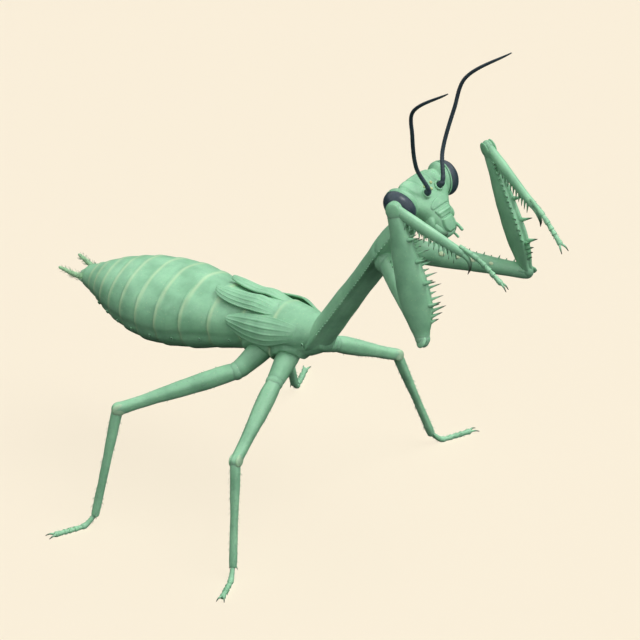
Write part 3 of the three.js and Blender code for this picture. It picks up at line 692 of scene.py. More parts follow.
def flank(spot):
    """How far the thorax's side stands out at a place: a collar round each leg's root, inside a furrow,
    and a seam that runs up from it."""
    left = Vector((abs(spot.x), spot.y, spot.z))
    lift = 0
    for kind, joints in WALKING_JOINTS.items():
        hip, coxa_end = Vector(joints[0]), Vector(joints[1])
        line = (coxa_end - hip).normalized()
        collar = WALKING_ROWS["coxa"][0][1] * WALKING_GIRTH[kind] + COLLAR_STEP
        off_axis = (left - hip).cross(line).length
        lift += COLLAR_HEIGHT * bell(off_axis, collar, COLLAR_HALF)
        lift -= FURROW_DEPTH * bell(off_axis, collar + FURROW_STEP, FURROW_HALF)
        above = left.z - hip.z
        seam = left.y - hip.y - SEAM_LEAN * above
        fade = step_up(above, 0.6, 1.4) * step_up(spot.z - SEAM_TOP, 0, SEAM_FADE)
        lift -= SEAM_DEPTH * bell(seam, 0, SEAM_HALF) * fade
    return lift


def lip_paleness(ends):
    """A function that gives how much paler a place is, near the thin edges of the plates."""
    edges = [trunk.place(end).y for end in ends]
    return lambda spot: 0.42 * max(bell(spot.y, edge - 0.15, 0.24) for edge in edges)


def breathing_holes(places):
    """A spiracle at each (share of the trunk, degrees over level, radius): an oval rim round a slit."""
    parts = []
    for t, degrees, radius in places:
        centre = on_trunk(t, degrees)
        turn = axes(on_trunk(t, degrees, 1) - centre, trunk.line(t))
        parts.append(rim("spiracle", centre, turn, radius, radius * 0.27, 16, 6, (1, 0.62, 1)))
        slit = ball("slit", centre, (radius * 0.72, radius * 0.3, 0.06), turn, 12, 8)
        # The slit is a solid marked nearly horn-brown: painted shade inside the opening.
        parts.append(mark(slit, "tip", lambda spot: 0.8))
    return parts


TAIL_PLATE_INSET, TAIL_PLATE_THICK = 0.7, 0.22
TAIL_PLATES = [  # reach past the trunk, half width, heights at root and tip, sag at the sides, way
    ("plate_over_vent", 2.7, 1.6, 1.72, 0.6, 0.5, 1),
    ("plate_under_vent", 3.3, 1.65, 1.5, 0.55, 0.75, -1),
]


def tail_plate(name, reach, half, root, tip, sag, way):
    """The plate over the vent, or the one under it: a rounded scoop past the trunk's end."""
    tail, line = trunk.place(1), trunk.line(1)

    def place(across, along):
        side = 2 * across - 1
        taper = math.sqrt(1 - 0.99 * along ** 2.6)
        height = root + (tip - root) * along ** 1.6 - sag * (side * taper) ** 2
        past = reach * along - TAIL_PLATE_INSET
        return tail + line * past + X * (half * taper * side) + Z * (height * way)

    return leaf(name, place, TAIL_PLATE_THICK, Z * way, 16, 14)


THORAX_HOLE = (0.04, -8, 0.33)  # share of the trunk, degrees over level, radius
SEGMENT_HOLE = (0.32, -23, 0.3)  # share of the segment, and the same
FLANK_TOP = 32.5
BODY_ENDS = (1.2, 1.3)  # how far they bulge
BODY_DENTS = [(0.16, 4.5), (0.04, 1.3)]  # depth, width


def make_body():
    starts = segment_starts()
    stations = THORAX_PLATES + repeated(starts, PLATE)
    body = grow("body", trunk, TRUNK_ROWS, Z, stations, 48, BODY_ENDS, trunk_section)
    waist = trunk.place(WAIST_T).y
    refined(soften(body), lambda spot: spot.y < waist and spot.z < FLANK_TOP)
    raised(body, flank)
    for dents in BODY_DENTS:
        uneven(body, *dents)
    mark(body, "pale", lip_paleness(THORAX_LIPS + starts[1:-1]))
    share, *place = SEGMENT_HOLE
    holes = [(start + (end - start) * share, *place) for start, end in zip(starts, starts[1:-2])]
    left = joined("breathing_holes", breathing_holes([THORAX_HOLE, *holes]))
    parts = [body, left, mirrored(left, "breathing_holes_right")]
    parts += [tail_plate(*sizes) for sizes in TAIL_PLATES]
    keep(joined("body", parts), GREEN, "abdomen", "thorax")


# ---- prothorax and neck
def prothorax_section(angle):
    """A roof with a keel and sharp side edges that stand out over a narrower underside."""
    under = 0.15 * min(max(-math.sin(angle) / math.sin(math.radians(16)), 0), 1)
    return squared(1.85)(angle) * (1 - under) + swelling(angle, 90, 8, 0.07) + swelling(angle, 0, 6, 0.05)


EDGE_TEETH = spread(0.12, 0.97, 40)
EDGE_TOOTH_RADIUS, EDGE_TOOTH_LENGTHS, EDGE_TOOTH_LEAN = 0.11, (0.16, 0.26), 0.35
SHIELD_ENDS, SHIELD_DENTS = (1.3, 0.6), (0.09, 3.2)
SHIELD_GROOVE = [(0.776, 0.99), (0.785, 0.94), (0.794, 0.99)]  # over the grasping legs
SHIELD_STATIONS = [(0, 0.95), *plain(0.012, 0.76, 26), *SHIELD_GROOVE, *plain(0.81, 0.975, 9), (1, 0.96)]


def make_prothorax():
    route = Route(PROTHORAX_HINGE - FORWARD * PROTHORAX_OVERRUN, PROTHORAX_END)
    section = prothorax_section
    shield = grow("shield", route, PROTHORAX_ROWS, DORSAL, SHIELD_STATIONS, 40, SHIELD_ENDS, section)
    uneven(soften(shield), *SHIELD_DENTS)
    chance = random.Random(5)
    teeth = []
    for t in EDGE_TEETH:
        width, over, under = eased(PROTHORAX_ROWS, t)
        edge = route.place(t) + DORSAL * (over - under) / 2 + X * (width * 1.04)
        size = chance.uniform(*EDGE_TOOTH_LENGTHS)
        for side in (1, -1):
            root = Vector((edge.x * side, edge.y, edge.z))
            teeth.append((root, X * side + FORWARD * EDGE_TOOTH_LEAN, size, EDGE_TOOTH_RADIUS))
    piece = joined("prothorax_shield", [shield, planted("edge_teeth", PIMPLE, teeth)])
    keep(piece, GREEN, "prothorax")


FOLD_IN, FOLD_OUT = 0.88, 1.1


def bellows(name, points, radii, folds):
    """A folded, soft skin between two hard parts."""
    rows = round_rows(zip(spread(0, 1, len(radii)), radii))
    steps = enumerate(spread(0, 1, 2 * folds + 1))
    stations = [(t, FOLD_OUT if i % 2 else FOLD_IN) for i, t in steps]
    return soften(grow(name, Route(*points), rows, Z, stations, 24))


NECK_PLATE_SPOTS = [(0.75, 1.1, 0.75), (-0.35, 1.3, 0.45)]  # along the neck, across and below it
NECK_PLATE_RADII = (0.5, 0.75, 0.62)


def neck_plates():
    """The two hard plates that stiffen the neck's skin on each side."""
    middle = PROTHORAX_END + FORWARD * (NECK_LENGTH / 2)
    parts = []
    for side in (1, -1):
        for along, across, below in NECK_PLATE_SPOTS:
            place = middle + FORWARD * along + X * (across * side) - DORSAL * below
            parts.append(ball("neck_plate", place, NECK_PLATE_RADII, axes(FORWARD, DORSAL), 20, 12))
    return parts


NECK_LINE = [PROTHORAX_END - FORWARD * 1.3, PROTHORAX_END + FORWARD * 1.2, on_head(0, 0, -1)]
NECK_RADII, NECK_FOLDS = [1.5, 1.45, 1.6], 7
THORAX_JOINT_LINE = [
    PROTHORAX_HINGE + FORWARD * 2.6, PROTHORAX_HINGE + Vector((0, 0.6, -0.4)), (0, 7.2, 30.0),
]
THORAX_JOINT_RADII, THORAX_JOINT_FOLDS = [1.5, 2.1, 2.7], 6


def make_joints():
    neck = bellows("neck", NECK_LINE, NECK_RADII, NECK_FOLDS)
    keep(joined("neck_skin", [neck, *neck_plates()]), SOFT, "neck")
    keep(bellows("thorax_joint", THORAX_JOINT_LINE, THORAX_JOINT_RADII, THORAX_JOINT_FOLDS), SOFT)


# ---- head
HEAD_AXES = Matrix((X, FACE_UP, FACE_OUT)).transposed()
FACE_SQUARENESS = 2.25  # of the head's section, between a circle's 2 and a square's


def face_out(x, up):
    """How far out of the head its face lies, at a place across and up it."""
    width, over, under = eased(HEAD_ROWS, (HEAD_TOP - up) / (HEAD_TOP + HEAD_BOTTOM))
    share = min(abs(x) / width, 1) ** FACE_SQUARENESS
    return (over - under) / 2 + (over + under) / 2 * (1 - share) ** (1 / FACE_SQUARENESS)


ANTENNA_SPOT = (1.6, 1.1)  # across and up the face
OCELLI_SPOTS = [(0, 1.3), (0.8, 2.15), (-0.8, 2.15)]
OCELLUS_RADIUS = 0.27
CROWN_FURROWS = [(0, 0.05, 0.12), (1.25, 0.15, 0.17), (3.3, 0.13, 0.2)]  # across, depth, half width
NAPE_FURROW = (2.05, 0.16, 0.17)  # the same, round the neck
EYE_SEAT_RADII, EYE_SEAT_INSET = (1.1, 2.75, 2.25), 1.15
CHEEK_SPOT, CHEEK_RADII, CHEEK_LEAN = (2.25, -2.5, -0.3), (0.75, 1.7, 1.45), math.radians(17)
BROW_RADII, BROW_SUNK = (1.0, 0.95, 0.5), 0.2
HEAD_GRAIN, HEAD_SMOOTHING = 0.1, 7
HEAD_DENTS = (0.06, 1.7)


def head_turn(angle):
    return HEAD_AXES @ Matrix.Rotation(angle, 3, "Z")


def head_skin():
    """The capsule with a cushion under each eye, cheeks, brows over the antennae, and furrows."""
    route = Route(on_head(0, HEAD_TOP, 0), on_head(0, -HEAD_BOTTOM, 0))
    section = squared(FACE_SQUARENESS)
    capsule = grow("capsule", route, HEAD_ROWS, FACE_OUT, plain(0, 1, 22), 40, (0.35, 0.4), section)
    forms = [soften(capsule)]
    x, up = ANTENNA_SPOT
    for side in (1, -1):
        turn = head_turn(-EYE_LEAN * side)
        seat = eye_place(side) - turn.col[0] * EYE_SEAT_INSET * side
        cheek = on_head(CHEEK_SPOT[0] * side, *CHEEK_SPOT[1:])
        brow = on_head(x * side, up, face_out(x, up) - BROW_SUNK)
        forms += [
            ball("eye_seat", seat, EYE_SEAT_RADII, turn, 32, 20),
            ball("cheek", cheek, CHEEK_RADII, head_turn(CHEEK_LEAN * side), 24, 14),
            ball("brow", brow, BROW_RADII, HEAD_AXES, 24, 14),
        ]
    head = fused("head", forms, HEAD_GRAIN, HEAD_SMOOTHING)

    def sunk(spot):
        x, up, out = HEAD_AXES.transposed() @ (spot - HEAD_CENTRE)
        depth = 0
        for across, deep, half in CROWN_FURROWS:
            depth += deep * bell(abs(x) - across - 0.12 * (up - 2), 0, half)
        crown = -depth * step_up(up, 1.5, 2.6) * step_up(out, -1.5, -0.5)
        reach, deep, half = NAPE_FURROW
        nape = deep * bell(math.hypot(x * 0.62, up - 0.2), reach, half) * step_up(-out, 0.9, 1.8)
        return crown - nape

    return uneven(raised(head, sunk), *HEAD_DENTS)


def on_face(skin, x, up):
    """Where the head's skin lies, at a place across and up the face."""
    return skin(on_head(x, up, 6), -FACE_OUT)


FACE_PLATES = [  # from and to up the face, lift, arch, keel, half width at shares of the height
    ("shield", -1.8, -0.5, 0.16, 0.4, 0, [(0, 1.85), (0.3, 2.2), (0.65, 2.15), (0.9, 1.6), (1, 1.15)]),
    ("clypeus", -3.45, -1.82, 0.22, 0, 0.12, [(0, 1.3), (0.3, 1.45), (0.8, 1.8), (1, 1.85)]),
    (
        "lip", -5.95, -3.48, 0.36, 0, 0,
        [(0, 0.3), (0.06, 0.65), (0.2, 1.05), (0.5, 1.32), (0.85, 1.3), (1, 1.2)],
    ),
]


def face_plate(skin, name, low, high, lift, arch, keel, edges):
    """A raised plate on the face. arch bows its upper edge, and keel raises a fold across it."""
    bevel, sunk, thick = 0.2, 0.14, 0.3

    def place(across, along):
        side = 2 * across - 1
        half = eased(edges, along)[0]
        up = low + (high - low) * along + arch * (1 - side * side) * along
        inside = min((1 - abs(side)) * half, min(along, 1 - along) * (high - low))
        rise = (lift + sunk) * step_up(inside, 0, bevel) - sunk
        rise += keel * bell(along, 0.5, 0.12) * step_up(inside, 0, bevel)
        return on_face(skin, side * half, up) + FACE_OUT * rise

    return leaf(name, place, thick, FACE_OUT, 26, 18)


JAW_SPOTS = [(1.75, -2.9, -0.4), (1.8, -4.2, -0.25), (1.3, -5.4, 0.0), (0.45, -6.1, 0.2)]
JAW_ROWS = [(0, 0.6, 0.9, 0.9), (0.35, 0.72, 1.05, 1.05), (0.75, 0.55, 0.75, 0.75), (1, 0.2, 0.35, 0.35)]


def jaw(side):
    """One mandible, whose horny edge closes under the lip."""
    route = Route(*[on_head(x * side, up, out) for x, up, out in JAW_SPOTS])
    piece = grow("jaw", route, JAW_ROWS, FACE_OUT, plain(0, 1, 12), 18, (0.3, 0.2))
    reach = route.length * 0.8
    return mark(soften(piece), "tip", lambda spot: (spot - route.place(0)).length / reach - 0.3)


ORBIT_INSET = 0.62  # from the eye's middle
ORBIT_THICK = 0.055  # as a share of the eye's radii
ORBIT_DEPTH = 2.2  # how far the rim is stretched the way the eye looks


def orbit(side):
    """The rolled rim that holds an eye: an oval ring round it, square to the way it looks."""
    tilted = head_turn(-EYE_LEAN * side)
    turn = Matrix((tilted.col[1], tilted.col[2], tilted.col[0])).transposed()
    share = math.sqrt(1 - (ORBIT_INSET / EYE_RADII.x) ** 2)
    centre = eye_place(side) - turn.col[2] * ORBIT_INSET * side
    stretch = (EYE_RADII.y * share, EYE_RADII.z * share, ORBIT_DEPTH)
    return rim("orbit", centre, turn, 1, ORBIT_THICK, 64, 10, stretch)


NAPE_SPOT = (0, -0.15, -2.62)
NAPE_RING, SOCKET_RING = (1.72, 0.26, 40, 12), (0.68, 0.15, 32, 10)  # radius, thickness, facets


def make_head():
    head = head_skin()
    skin = skin_finder(head)
    nape_ring = rim("nape_ring", on_head(*NAPE_SPOT), HEAD_AXES, *NAPE_RING)
    parts = [head, nape_ring, *[face_plate(skin, *sizes) for sizes in FACE_PLATES], jaw(1), jaw(-1)]
    x, up = ANTENNA_SPOT
    for side in (1, -1):
        socket = on_face(skin, x * side, up) + FACE_OUT * 0.02
        parts.append(rim("socket", socket, HEAD_AXES, *SOCKET_RING))
        parts.append(orbit(side))
    keep(joined("head_shell", parts), GREEN, "head")
    radii = (OCELLUS_RADIUS,) * 3
    lenses = [ball("ocellus", on_face(skin, *spot), radii, HEAD_AXES, 20, 12) for spot in OCELLI_SPOTS]
    keep(joined("ocelli", lenses), OCELLUS)


LENS_WIDTH, LENS_HEIGHT = 0.2, 0.011


def compound_eye(name, side):
    """An eye covered with small domed lenses, each inside a six-sided furrow. The real ones are 0.03 mm
    wide; they are made coarser so that they show."""
    even_sphere = bpy.ops.mesh.primitive_ico_sphere_add
    lie = (eye_place(side), head_turn(-EYE_LEAN * side), EYE_RADII)
    centres = added("lens_centres", even_sphere, *lie, subdivisions=5, radius=1)
    tree = KDTree(len(centres.data.vertices))
    for i, spot in enumerate(centres.data.vertices):
        tree.insert(spot.co, i)
    tree.balance()
    bpy.data.objects.remove(centres)

    def dome(spot):
        return 1 - (tree.find(spot)[2] / (LENS_WIDTH / 2)) ** 2

    eye = added(name, even_sphere, *lie, subdivisions=7, radius=1)
    # Each lens is painted paler towards its top than in its furrow: a painted highlight on every dome.
    mark(eye, "pale", lambda spot: 0.5 * max(dome(spot), 0))
    return raised(eye, lambda spot: LENS_HEIGHT * dome(spot))


def make_eyes():
    for word, side in (("left", 1), ("right", -1)):
        keep(compound_eye("compound_eye_" + word, side), EYE, "eye_" + word)


ANTENNA_ROUTE = [(3.4, -16.9, 68.5), (5.4, -17.6, 75.2), (6.8, -18.9, 80.6), (8.2, -26.4, 86.6)]
ANTENNA_RADII = [  # at shares of its length: the two thick links at its root, then the thread
    (0, 0.52), (0.055, 0.56), (0.066, 0.4), (0.09, 0.42), (0.1, 0.36),
    (0.55, 0.33), (0.8, 0.27), (0.93, 0.2), (1, 0.1),
]
ANTENNA_ROOT = [
    (0, 1), (0.02, 1), (0.045, 1.03), (0.058, 0.97),
    (0.062, 0.72), (0.068, 1), (0.085, 1.02), (0.094, 0.8),
]
THREAD_START, THREAD_LINKS = 0.098, 58
THREAD_LINK = [(0, 0.93), (0.5, 1.0), (0.86, 1.035)]


def make_antennae():
    x, up = ANTENNA_SPOT
    route = Route(on_head(x, up, 1.6), on_head(x * 1.15, up + 0.25, 3.4), *ANTENNA_ROUTE)
    starts = [THREAD_START + (1 - THREAD_START) * n / THREAD_LINKS for n in range(THREAD_LINKS + 1)]
    stations = ANTENNA_ROOT + repeated(starts, THREAD_LINK) + [(1, 0.9)]
    feeler = soften(grow("feeler", route, round_rows(ANTENNA_RADII), X, stations, 12))
    keep_pair(feeler, "feeler", SLATE, "antenna")


JOINT_PROFILE = [(0.04, 0.82), (0.5, 0.95), (0.9, 1.08), (0.98, 0.95)]


def jointed(name, points, radius, joints, taper=0.85):
    """A chain of short joints that widen towards their ends."""
    rows = round_rows([(0, radius), (1, radius * taper)])
    stations = [(0, 0.8)] + repeated(joints, JOINT_PROFILE)
    return soften(grow(name, Route(*points), rows, FACE_OUT, stations, 12, (0, radius * 0.5)))


PALPS = [  # radius, joints, and its line in the head's directions
    (0.3, [0, 0.12, 0.26, 0.52, 0.76, 1],
     [(1.8, -2.9, -1.2), (2.75, -3.7, -1.3), (3.0, -5.2, -0.6), (2.3, -6.5, 0.4)]),
    (0.24, [0, 0.3, 0.6, 1],
     [(0.7, -4.4, -1.2), (1.3, -5.2, -1.3), (1.5, -6.3, -0.6), (1.0, -7.1, 0.1)]),
]


def make_palps():
    parts = []
    for radius, joints, spots in PALPS:
        parts.append(jointed("palp", [on_head(*spot) for spot in spots], radius, joints))
    keep_pair(joined("palps", parts), "palps", GREEN, "palp")


CERCUS_ROOT = 0.985  # share of the trunk
CERCUS_RADIUS, CERCUS_TAPER = 0.66, 0.4
CERCUS_HAIRS = (110, 0.6)  # how many, how long
CERCUS_STEPS = [(0.8, 0, 0.3), (1.9, 2.25, 0.5), (2.5, 5, 1.2)]  # from the trunk's end


def make_cerci():
    tail = trunk.place(CERCUS_ROOT)
    points = [tail + Vector(step) for step in CERCUS_STEPS]
    cercus = jointed("cercus", points, CERCUS_RADIUS, spread(0, 1, 12), CERCUS_TAPER)
    rows = round_rows([(0, CERCUS_RADIUS), (1, CERCUS_RADIUS * CERCUS_TAPER)])
    hairs = bristles(Route(*points), Z, rows, *CERCUS_HAIRS, random.Random(3))
    keep_pair(joined("cercus", [cercus, hairs]), "hairy_cercus", SOFT, "cercus")


# ---- wing pads
WING_PADS = {  # from and to, as shares of the trunk, and its edges in degrees over level
    "fore": (0.07, 0.34, -4, 47),
    "hind": (0.17, 0.43, 51, 86),
}
PAD_WIDEST, PAD_ROOT_TAPER, PAD_TIP_TAPER = 0.3, 0.25, 0.96
PAD_VEINS, VEIN_HEIGHT = 5, 0.11
PAD_LIFT, PAD_SUNK, PAD_BOW, PAD_THICK = 0.9, 0.15, 0.32, 0.3


def wing_pad(name, first, last, low, high):
    """A leaf that lies over the trunk, rooted in front and free behind, with its veins raised."""

    def place(around, along):
        if along < PAD_WIDEST:
            taper = 1 - PAD_ROOT_TAPER * (1 - along / PAD_WIDEST) ** 2
        else:
            taper = math.sqrt(1 - PAD_TIP_TAPER * ((along - PAD_WIDEST) / (1 - PAD_WIDEST)) ** 2.2)
        middle = low + (high - low) * (0.5 + 0.15 * along)
        edges = [middle + (edge - middle) * taper for edge in (low, high)]
        rise = step_up(along, -0.02, 0.4)
        bow = PAD_BOW * math.sin(math.pi * around) * rise
        ridges = max(math.cos(around * math.tau * PAD_VEINS), 0) ** 2
        vein = VEIN_HEIGHT * rise * ridges * taper
        lift = PAD_LIFT * rise - PAD_SUNK + bow + vein
        return on_trunk(first + (last - first) * along, edges[0] + (edges[1] - edges[0]) * around, lift)

    return leaf(name, place, PAD_THICK, X + Z, 40, 24)


def make_wing_pads():
    for part, sizes in WING_PADS.items():
        keep_pair(wing_pad("pad", *sizes), f"{part}_pad", GREEN, f"wing_pad_{part}")


# ---- legs
LEG_PARTS = ("coxa", "femur", "tibia", "tarsus")
TOE_JOINTS = [0, 0.4, 0.57, 0.7, 0.8, 1]
TOE_PROFILE = [(0.05, 0.72), (0.3, 0.78), (0.72, 0.9), (0.9, 1.06), (0.97, 1.0), (1.0, 0.74)]
TOE_CLAW = [(-0.4, 0, 0), (0.7, 0.45, 0.12), (1.45, 0.62, -0.1)]  # past the foot's tip, aside, up
TOE_RADIUS, TOE_CLAW_RADIUS = 0.5, 0.22
TOE_HAIRS = (70, 0.3)  # how many, how long
MEMBER_DENTS = (0.07, 2.4)


def member(name, start, end, up, rows, factors, sides=24, section=None):
    """A straight leg part between two joints, rounded at both."""
    bulge = [0.9 * (rows[k][2] + rows[k][3]) / 2 for k in (0, -1)]
    part = grow(name, Route(start, end), rows, up, factors, sides, bulge, section)
    return uneven(soften(part), *MEMBER_DENTS)


def lobes(joint, line, hinge, back, aside, radii):
    """The lobes on both sides of a leg's joint, set back from it along the part that ends there."""
    turn = axes(line, hinge)
    places = [joint - line * back + hinge * way * aside for way in (1, -1)]
    return joined("lobes", [ball("lobe", place, radii, turn, 20, 12) for place in places])


def hook(name, points, radius, sides):
    half = radius * 0.75
    rows = [(0, radius, radius, radius), (0.5, radius * 0.72, half, half), (1, 0.05, 0.05, 0.05)]
    claw = grow(name, Route(*points), rows, Z + X * 0.2, plain(0, 1, 12), sides)
    start, reach = Vector(points[0]), (Vector(points[-1]) - Vector(points[0])).length
    return mark(claw, "tip", lambda spot: min((spot - start).length / reach, 1))


def toes(points, up, aside, chance, radius=TOE_RADIUS):
    """A foot of five joints with a pad under each, short hairs and a pair of claws."""
    route = Route(*points)
    sizes = [(0, radius), (1, radius)]
    stations = [(0, 0.75)] + repeated(TOE_JOINTS, TOE_PROFILE)
    foot = soften(grow("tarsus", route, round_rows(sizes), up, stations, 14, (0, radius * 0.5)))
    parts = [foot, bristles(route, up, round_rows(sizes, 0.82), *TOE_HAIRS, chance)]
    tip, line = route.place(1), route.line(1)
    pad_radii = (radius * 0.75, radius * 0.55, radius * 0.9)
    for share in TOE_JOINTS[1:-1]:
        place = route.place(share - 0.02) - up * radius * 0.5
        parts.append(ball("pad", place, pad_radii, axes(route.line(share), up), 12, 8))
    for way in (1, -1):
        bend = [tip + line * along + aside * across * way + up * rise for along, across, rise in TOE_CLAW]
        parts.append(hook("claw", bend, TOE_CLAW_RADIUS, 10))
    return parts


def ribbed(angle):
    """The low ridges along a slender leg part."""
    return 1 + 0.035 * math.cos(5 * angle)


TROCHANTER_LENGTH = 1.0  # between the coxa's end and the femur
TROCHANTER_RADII = Vector((1.22, 1.22, 1.1))  # as shares of the leg's girth
LOBE_RADII, LOBE_ASIDE = Vector((0.8, 0.3, 0.95)), 0.55  # the same
COXA_STATIONS = [(0, 1), (0.3, 1), (0.6, 1), (0.85, 1), (0.93, 1.06), (1, 1)]
FEMUR_STATIONS = [(0, 0.95), *plain(0.06, 0.94, 12), (1, 1)]
TIBIA_HAIRS, FEMUR_HAIRS = (130, 0.45), (90, 0.3)  # how many, how long
SPUR_LENGTH, SPUR_RADIUS, SPUR_BACK, SPUR_ASIDE = 1.1, 0.16, 0.35, 0.35


def make_walking_leg(kind):
    girth = WALKING_GIRTH[kind]
    hip, coxa_end, knee, ankle, sole, toe = (Vector(spot) for spot in WALKING_JOINTS[kind])
    thigh, shin = (knee - coxa_end).normalized(), (ankle - knee).normalized()
    rows = {part: round_rows(sizes, girth) for part, sizes in WALKING_ROWS.items()}
    femur_start = coxa_end + thigh * TROCHANTER_LENGTH
    hinge = thigh.cross(shin).normalized()
    chance = random.Random(len(kind))
    parts = [
        member("coxa", hip, coxa_end, Z, rows["coxa"], COXA_STATIONS),
        member("femur", femur_start, knee, Z, rows["femur"], FEMUR_STATIONS, section=ribbed),
        member("tibia", knee, ankle, X, rows["tibia"], plain(0, 1, 14), section=ribbed),
        ball("trochanter", coxa_end + thigh * 0.35, TROCHANTER_RADII * girth, axes(thigh, Z), 20, 12),
        bristles(Route(knee, ankle), X, rows["tibia"], *TIBIA_HAIRS, chance),
        bristles(Route(femur_start, knee), Z, rows["femur"], *FEMUR_HAIRS, chance),
    ]
    knee_lobes = lobes(knee, thigh, hinge, 0.25, LOBE_ASIDE * girth, LOBE_RADII * girth)
    parts.append(mark(knee_lobes, "pale", lambda spot: 0.25))
    for way in (1, -1):
        root = ankle - shin * SPUR_BACK + hinge * way * girth * SPUR_ASIDE
        direction = shin - thigh * 0.2 + hinge * way * 0.35
        parts.append(planted("spur", THORN, [(root, direction, SPUR_LENGTH, SPUR_RADIUS)]))
    points = [ankle, (ankle + shin * 0.5).lerp(sole, 0.45), sole, toe]
    aside = Z.cross(toe - sole).normalized()
    foot = toes(points, Vector((0.35, 0, 1)).normalized(), aside, chance)
    leg = joined("leg", parts + foot)
    pick(leg, lambda spot: spot.z < 0)
    bpy.ops.transform.resize(value=(1, 1, 0), center_override=(0, 0, 0))
    mode("OBJECT")
    keep_pair(leg, f"{kind}_leg", GREEN, *[f"{kind}_{part}" for part in LEG_PARTS])


COXA_LENGTH, FEMUR_LENGTH, TIBIA_LENGTH = 19.5, 21.5, 12.5
FORE_TOE_RADIUS = TOE_RADIUS * 0.92
SHOULDER_SHARE = 0.74
COXA_LINE = Vector((0.58, -0.79, -0.2)).normalized()
FEMUR_LINE = Vector((-0.06, 0.31, 0.948)).normalized()
TIBIA_LINE = Vector((-0.235, -0.866, -0.437)).normalized()
SHOULDER = PROTHORAX_HINGE + FORWARD * PROTHORAX_LENGTH * SHOULDER_SHARE - DORSAL * 1.5 + X * 2.2
ELBOW = SHOULDER + COXA_LINE * COXA_LENGTH
FORE_KNEE = ELBOW + FEMUR_LINE * FEMUR_LENGTH
WRIST = FORE_KNEE + TIBIA_LINE * TIBIA_LENGTH
COXA_ROWS = [(0, 1.5, 1.9, 1.9), (0.2, 1.5, 1.9, 1.9), (0.6, 1.2, 1.5, 1.5), (1, 1.0, 1.15, 1.15)]
FEMUR_ROWS = [
    (0, 0.95, 1.05, 1.05),
    (0.1, 1.1, 1.5, 1.8),
    (0.22, 1.3, 2.1, 2.7),
    (0.38, 1.35, 2.3, 2.8),
    (0.62, 1.2, 1.95, 2.2),
    (0.86, 0.95, 1.35, 1.4),
    (1, 0.9, 1.2, 1.2),
]
TIBIA_ROWS = [(0, 0.8, 1.0, 1.0), (0.12, 0.76, 0.9, 1.0), (0.6, 0.7, 0.8, 1.0), (1, 0.52, 0.58, 0.68)]


def square_to(line, way):
    return (way - line * way.dot(line)).normalized()


def coxa_section(angle):
    """Nearly round, with a ridge along the front."""
    return squared(1.8)(angle) + swelling(angle, 90, 10, 0.06)


def grasping_section(angle):
    """Flat sides, a dorsal ridge, and two edges along the belly with a groove between them."""
    belly = swelling(angle, -64, 10, 0.05) - swelling(angle, -90, 9, 0.07)
    return squared(2.1)(angle) + swelling(angle, 90, 10, 0.03) + belly


FORE_COXA_STATIONS = [(0, 1), *plain(0.06, 0.9, 12), (0.95, 1.05), (1, 1)]
FORE_FEMUR_STATIONS = [(0, 0.92), (0.04, 1), (0.06, 0.93), (0.09, 1), *plain(0.12, 0.94, 18), (1, 1)]
TIBIA_THORN_LENGTHS = [0.7 + 0.8 * share for share in spread(0.2, 0.93, 13)]
THORN_ROWS = [  # the part, shares of it, how far off its middle, lean inwards and along, lengths, radius
    ("femur", spread(0.29, 0.9, 15), 0.55, (0.35, 0.12), [1.9, 0.95], 0.2),
    ("femur", spread(0.26, 0.76, 4), -0.6, (-0.4, 0.15), [2.1], 0.3),
    ("femur", spread(0.13, 0.25, 4), 0, (0, 0.25), [1.4, 2.0, 2.7, 1.7], 0.28),
    ("tibia", spread(0.2, 0.93, 13), 0.36, (0.35, 0.55), TIBIA_THORN_LENGTHS, 0.17),
    ("tibia", spread(0.22, 0.93, 11), -0.36, (-0.35, 0.55), TIBIA_THORN_LENGTHS[2:], 0.17),
    ("coxa", spread(0.14, 0.94, 14), 0, (0, 0.2), [0.6, 0.35], 0.16),
]
TIBIAL_CLAW = [(-0.6, 0), (1.3, 0.35), (2.3, 1.35), (2.5, 2.5)]  # past the wrist and down
FORE_TARSUS = [(-0.9, -0.75), (2.925, -0.5), (7.6, 0.75)]  # the same
TIBIAL_CLAW_RADIUS = 0.52
HIP_SKIN_RADII, FORE_TROCHANTER_RADII = (2.0, 2.2, 2.4), (1.02, 1.2, 1.3)
FORE_KNEE_LOBES = (0.3, 0.72, (1.15, 0.3, 1.3))  # how far back and aside, radii
ELBOW_LOBES = (0.3, 0.75, (1.1, 0.34, 1.2))
THORN_LUCK = (0.92, 1.08)  # factors on a length
CALLUSES = [(0.3, 0.36), (0.43, 0.28), (0.55, 0.34), (0.7, 0.25)]  # share of the coxa, size
CALLUS_ANGLE = math.radians(152)


def thorn_row(start, end, rows, belly, within, inwards, shares, aside, lean, lengths, radius, chance):
    """Thorns along a leg part, rooted within its skin, in lengths that are taken in turn."""
    line = (end - start).normalized()
    roots = []
    for i, share in enumerate(shares):
        depth = eased(rows, share)[2] * within
        root = start.lerp(end, share) + belly * depth + inwards * aside
        direction = belly + inwards * lean[0] + line * lean[1]
        roots.append((root, direction, lengths[i % len(lengths)] * chance.uniform(*THORN_LUCK), radius))
    return roots


